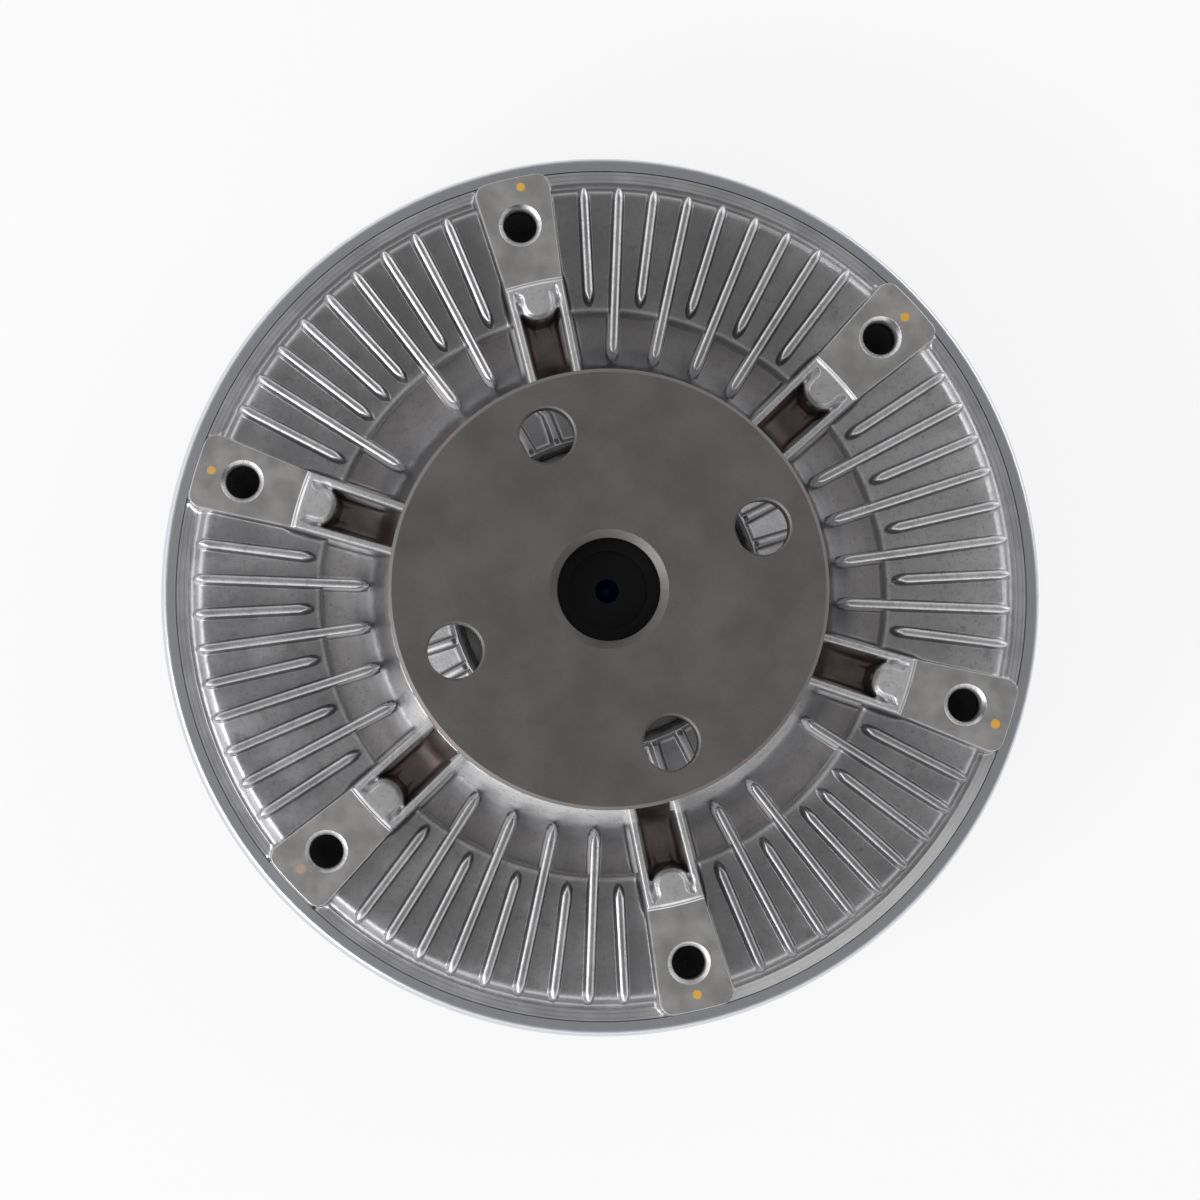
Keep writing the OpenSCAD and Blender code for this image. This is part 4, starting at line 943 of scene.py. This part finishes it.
def turned_rim():
    """Bright turned aluminium with fine concentric lines, with painted light making it paler and less
    metallic at the lower right, and painted shade on the pad step at the lower left.
    """
    rim = Finish("turned_rim")
    lines = rim.lines(2600, 6)
    cloud = rim.noise(120, 4)
    colour = rim.clouded(cloud, (0.74, 0.74, 0.765), (0.86, 0.86, 0.885))
    colour = rim.mix(rim.spread(lines, 0.42, 0.64, 0.0, 0.6), colour, (0.42, 0.415, 0.42))
    # Painted shade on the pad step at the lower left
    colour = rim.mix(rim.mask(STEP_SHADE, 0.8), colour, (0.10, 0.10, 0.105))
    # Painted light: paler and less metallic at the lower right
    colour = rim.mix(rim.mask(LIT_RIM, 0.6), colour, (0.93, 0.92, 0.90))
    metallic = rim.spread(rim.mask(LIT_RIM), 0.0, 1.0, 1.0, 0.45)
    rough = rim.spread(cloud, *MIDDLE, 0.26, 0.36)
    return rim.done(colour, metallic, rough, rim.bump(lines, 0.25, 0.05))


def hole_wall():
    """Bright thread at the mouth of a tapped hole, darkened below by painted shade."""
    wall = Finish("hole_wall")
    fine = wall.noise(900, 3, 0.65)
    colour = wall.clouded(fine, (0.58, 0.58, 0.59), (0.70, 0.70, 0.71))
    # Painted shade deeper in the hole
    colour = wall.mix(wall.mask(HOLE_SHADE), colour, (0.12, 0.12, 0.12))
    return wall.done(colour, metallic=0.6, roughness=0.4, normal=wall.bump(fine, 0.2, 0.05))


def plain_metal(name, dark, light, roughness, grain, metallic):
    """A mottled metal or plastic for the pieces inside, and for the pockets' painted shade."""
    plain = Finish(name)
    cloud = plain.noise(140, 4)
    fine = plain.noise(grain, 3, 0.65)
    pits = plain.spread(fine, 0.58, 0.75, 0.0, 0.4)
    colour = plain.mix(pits, plain.clouded(cloud, dark, light), tuple(PIT_SHADE * c for c in dark))
    rough = plain.spread(cloud, *MIDDLE, roughness - ROUGHNESS_SWING, roughness + ROUGHNESS_SWING)
    return plain.done(colour, metallic, rough, plain.bump(fine, 0.2, 0.06))


def flange_steel():
    """Dark turned steel, rust specks at the rim, a near-black bore and a dab of marking blue at its centre.
    """
    steel = Finish("flange_steel")
    lines = steel.lines(2600)
    cloud = steel.noise(60, 5)
    grain = steel.noise(1400, 3, 0.65)
    colour = steel.clouded(cloud, (0.195, 0.187, 0.182), (0.217, 0.209, 0.204))
    colour = steel.mix(steel.spread(grain, 0.56, 0.75, 0.0, 0.4), colour, (0.13, 0.122, 0.115))
    rust = steel.times(steel.mask(FLANGE_EDGE), steel.spread(steel.noise(700), 0.62, 0.70))
    colour = steel.mix(rust, colour, (0.30, 0.15, 0.07))
    colour = steel.coats(colour, BORE_COATS)
    rough = steel.spread(cloud, *MIDDLE, 0.46, 0.56)
    sand = steel.bump(grain, 0.15, 0.05)
    metallic = steel.rest(steel.times(rust, 0.8))
    return steel.done(colour, metallic, rough, steel.bump(lines, 0.08, 0.05, sand))


def cover_aluminium():
    """The cover's casting, with its lip and outer edge turned bright, and a painted highlight on the outer
    edge.
    """
    cover = Finish("cover_aluminium")
    cloud = cover.noise(70, 5)
    grain = cover.noise(1500, 4, 0.7)
    cast = cover.mix(cover.spread(cloud, *CLOUDS), (0.44, 0.44, 0.455), (0.60, 0.60, 0.615))
    cast = cover.mix(cover.spread(grain, *SPECKS, 0.6, 0.0), cast, SPECK_COLOUR)
    # Turned lines with a painted highlight on the lip's outer face
    turned_edge_sheen = cover.times(cover.spread(cover.lines(7000), 0.7, 0.35), cover.mask(LIP_FACE))
    lip = cover.mix(turned_edge_sheen, (0.58, 0.59, 0.64), (0.74, 0.75, 0.79))
    is_lip = cover.mask(LIP)
    rough = cover.spread(is_lip, 0.0, 1.0, 0.40, 0.28)
    colour = cover.mix(is_lip, cast, lip)
    return cover.done(colour, metallic=1.0, roughness=rough, normal=cover.bump(grain, 0.25, 0.08))


def paint_nodes(finishes):
    """Gives every CAD node its own finish, or else that of its slot in the record."""
    for entry in frame["record"]["subparts"]:
        node = frame["nodes"][entry["node"]]
        finish = finishes.get(entry["node"], finishes.get(entry["material_slot"]))
        if not node.material_slots:
            node.data.materials.append(finish)
        for slot in node.material_slots:
            slot.material = finish


def make_housing(finishes):
    """The rear housing, dressed, in place of its CAD node."""
    points, faces, kinds = rear_housing_mesh()
    housing = new_mesh("rear_housing_casting", points, faces)
    for finish in finishes:
        housing.data.materials.append(finish)
    housing.data.polygons.foreach_set("material_index", kinds)
    housing.data.set_sharp_from_angle(angle=math.radians(SHARP_ANGLE))
    weighted = housing.modifiers.new("even_normals", "WEIGHTED_NORMAL")
    weighted.keep_sharp = True
    weighted.weight = NORMAL_WEIGHT
    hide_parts("rear_housing")
    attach(housing, "housing")


# Floor, light and camera

def make_floor():
    """A white floor that keeps a soft shadow."""
    level = CAD_BOX[0][2] / MM
    half = FLOOR_HALF / MM
    corners = [(-half, -half, level), (half, -half, level), (half, half, level), (-half, half, level)]
    floor = new_mesh("studio_floor", corners, [(0, 1, 2, 3)])
    floor.data.materials.append(floor_white())


def floor_white():
    """Matt white that glows where it is seen, so that the floor meets a white ground."""
    material = bpy.data.materials.new("studio_floor")
    material.use_nodes = True
    tree = material.node_tree
    tree.nodes.clear()
    path = add(tree, "ShaderNodeLightPath").outputs
    seen = maths(tree, "MAXIMUM", path["Is Camera Ray"], path["Is Glossy Ray"])
    seen = maths(tree, "MAXIMUM", seen, path["Is Transmission Ray"])
    share = maths(tree, "MULTIPLY", seen, FLOOR_GLOW)
    diffuse = add(tree, "ShaderNodeBsdfDiffuse", None, {"Color": FLOOR_COLOUR}).outputs[0]
    white = add(tree, "ShaderNodeEmission", None, {"Color": (1, 1, 1, 1), "Strength": 1.0}).outputs[0]
    mixed = add(tree, "ShaderNodeMixShader", None, {0: share, 1: diffuse, 2: white}).outputs[0]
    out = add(tree, "ShaderNodeOutputMaterial")
    tree.links.new(mixed, out.inputs[0])
    return material


def make_world():
    """Soft box all round: bright at the sides, dim overhead where the camera stands."""
    world = bpy.data.worlds.new("studio")
    bpy.context.scene.world = world
    world.use_nodes = True
    tree = world.node_tree
    sky = tree.nodes["Background"]
    way = add(tree, "ShaderNodeTexCoord").outputs["Generated"]
    up = add(tree, "ShaderNodeSeparateXYZ", None, {0: way}).outputs[2]
    ramp = add(tree, "ShaderNodeValToRGB", None, {0: up})
    stops = ramp.color_ramp.elements
    ends = (SKY_STOPS[0], SKY_STOPS[-1])
    for stop, (position, level) in zip(stops, ends):
        stop.position = position
        stop.color = (level, level, level, 1)
    for position, level in SKY_STOPS[1:-1]:
        stops.new(position).color = (level, level, level, 1)
    side = vector_maths(tree, "DOT_PRODUCT", way, BRIGHT_SIDE)
    lean = spread(tree, side.outputs["Value"], *SIDE_LIGHT)
    plug(tree, sky.inputs["Color"], ramp.outputs[0])
    plug(tree, sky.inputs["Strength"], lean)


def make_lamp(name, place, size, watts):
    """A square soft lamp that faces the part."""
    data = bpy.data.lights.new(name, "AREA")
    data.size = size
    data.energy = watts
    lamp = bpy.data.objects.new(name, data)
    lamp.location = place
    aim = Vector(LAMP_AIM) - Vector(place)
    lamp.rotation_euler = aim.to_track_quat("-Z", "Y").to_euler()
    bpy.context.scene.collection.objects.link(lamp)


def make_camera():
    """The photograph's view, almost straight down on the flange."""
    data = bpy.data.cameras.new("photo_view")
    data.sensor_width = SENSOR
    data.sensor_fit = "HORIZONTAL"
    data.lens = LENS
    data.clip_end = FARTHEST
    camera = bpy.data.objects.new("photo_view", data)
    eye = Vector(CAMERA_AT) * MM
    ahead = (Vector(CAMERA_AIM) * MM - eye).normalized()
    right = ahead.cross(Vector((0, 1, 0))).normalized()
    over = right.cross(ahead)
    camera.matrix_world = Matrix.Translation(eye) @ Matrix((right, over, -ahead)).transposed().to_4x4()
    bpy.context.scene.collection.objects.link(camera)
    bpy.context.scene.camera = camera


def main():
    bpy.context.scene.view_settings.view_transform = "Standard"
    make_camera()
    make_world()
    for name, (place, size, watts) in LAMPS.items():
        make_lamp(name, place, size, watts)
    make_floor()
    cast = cast_aluminium()
    plain = {name: plain_metal(name, *looks) for name, looks in PLAIN_FINISHES.items()}
    make_housing((cast, machined_pad(), turned_rim(), hole_wall(), plain["pocket_shade"]))
    paint_nodes({
        **plain,
        "hub_shaft": flange_steel(),
        "front_cover": cover_aluminium(),
        "cast_aluminium": cast,
    })


main()
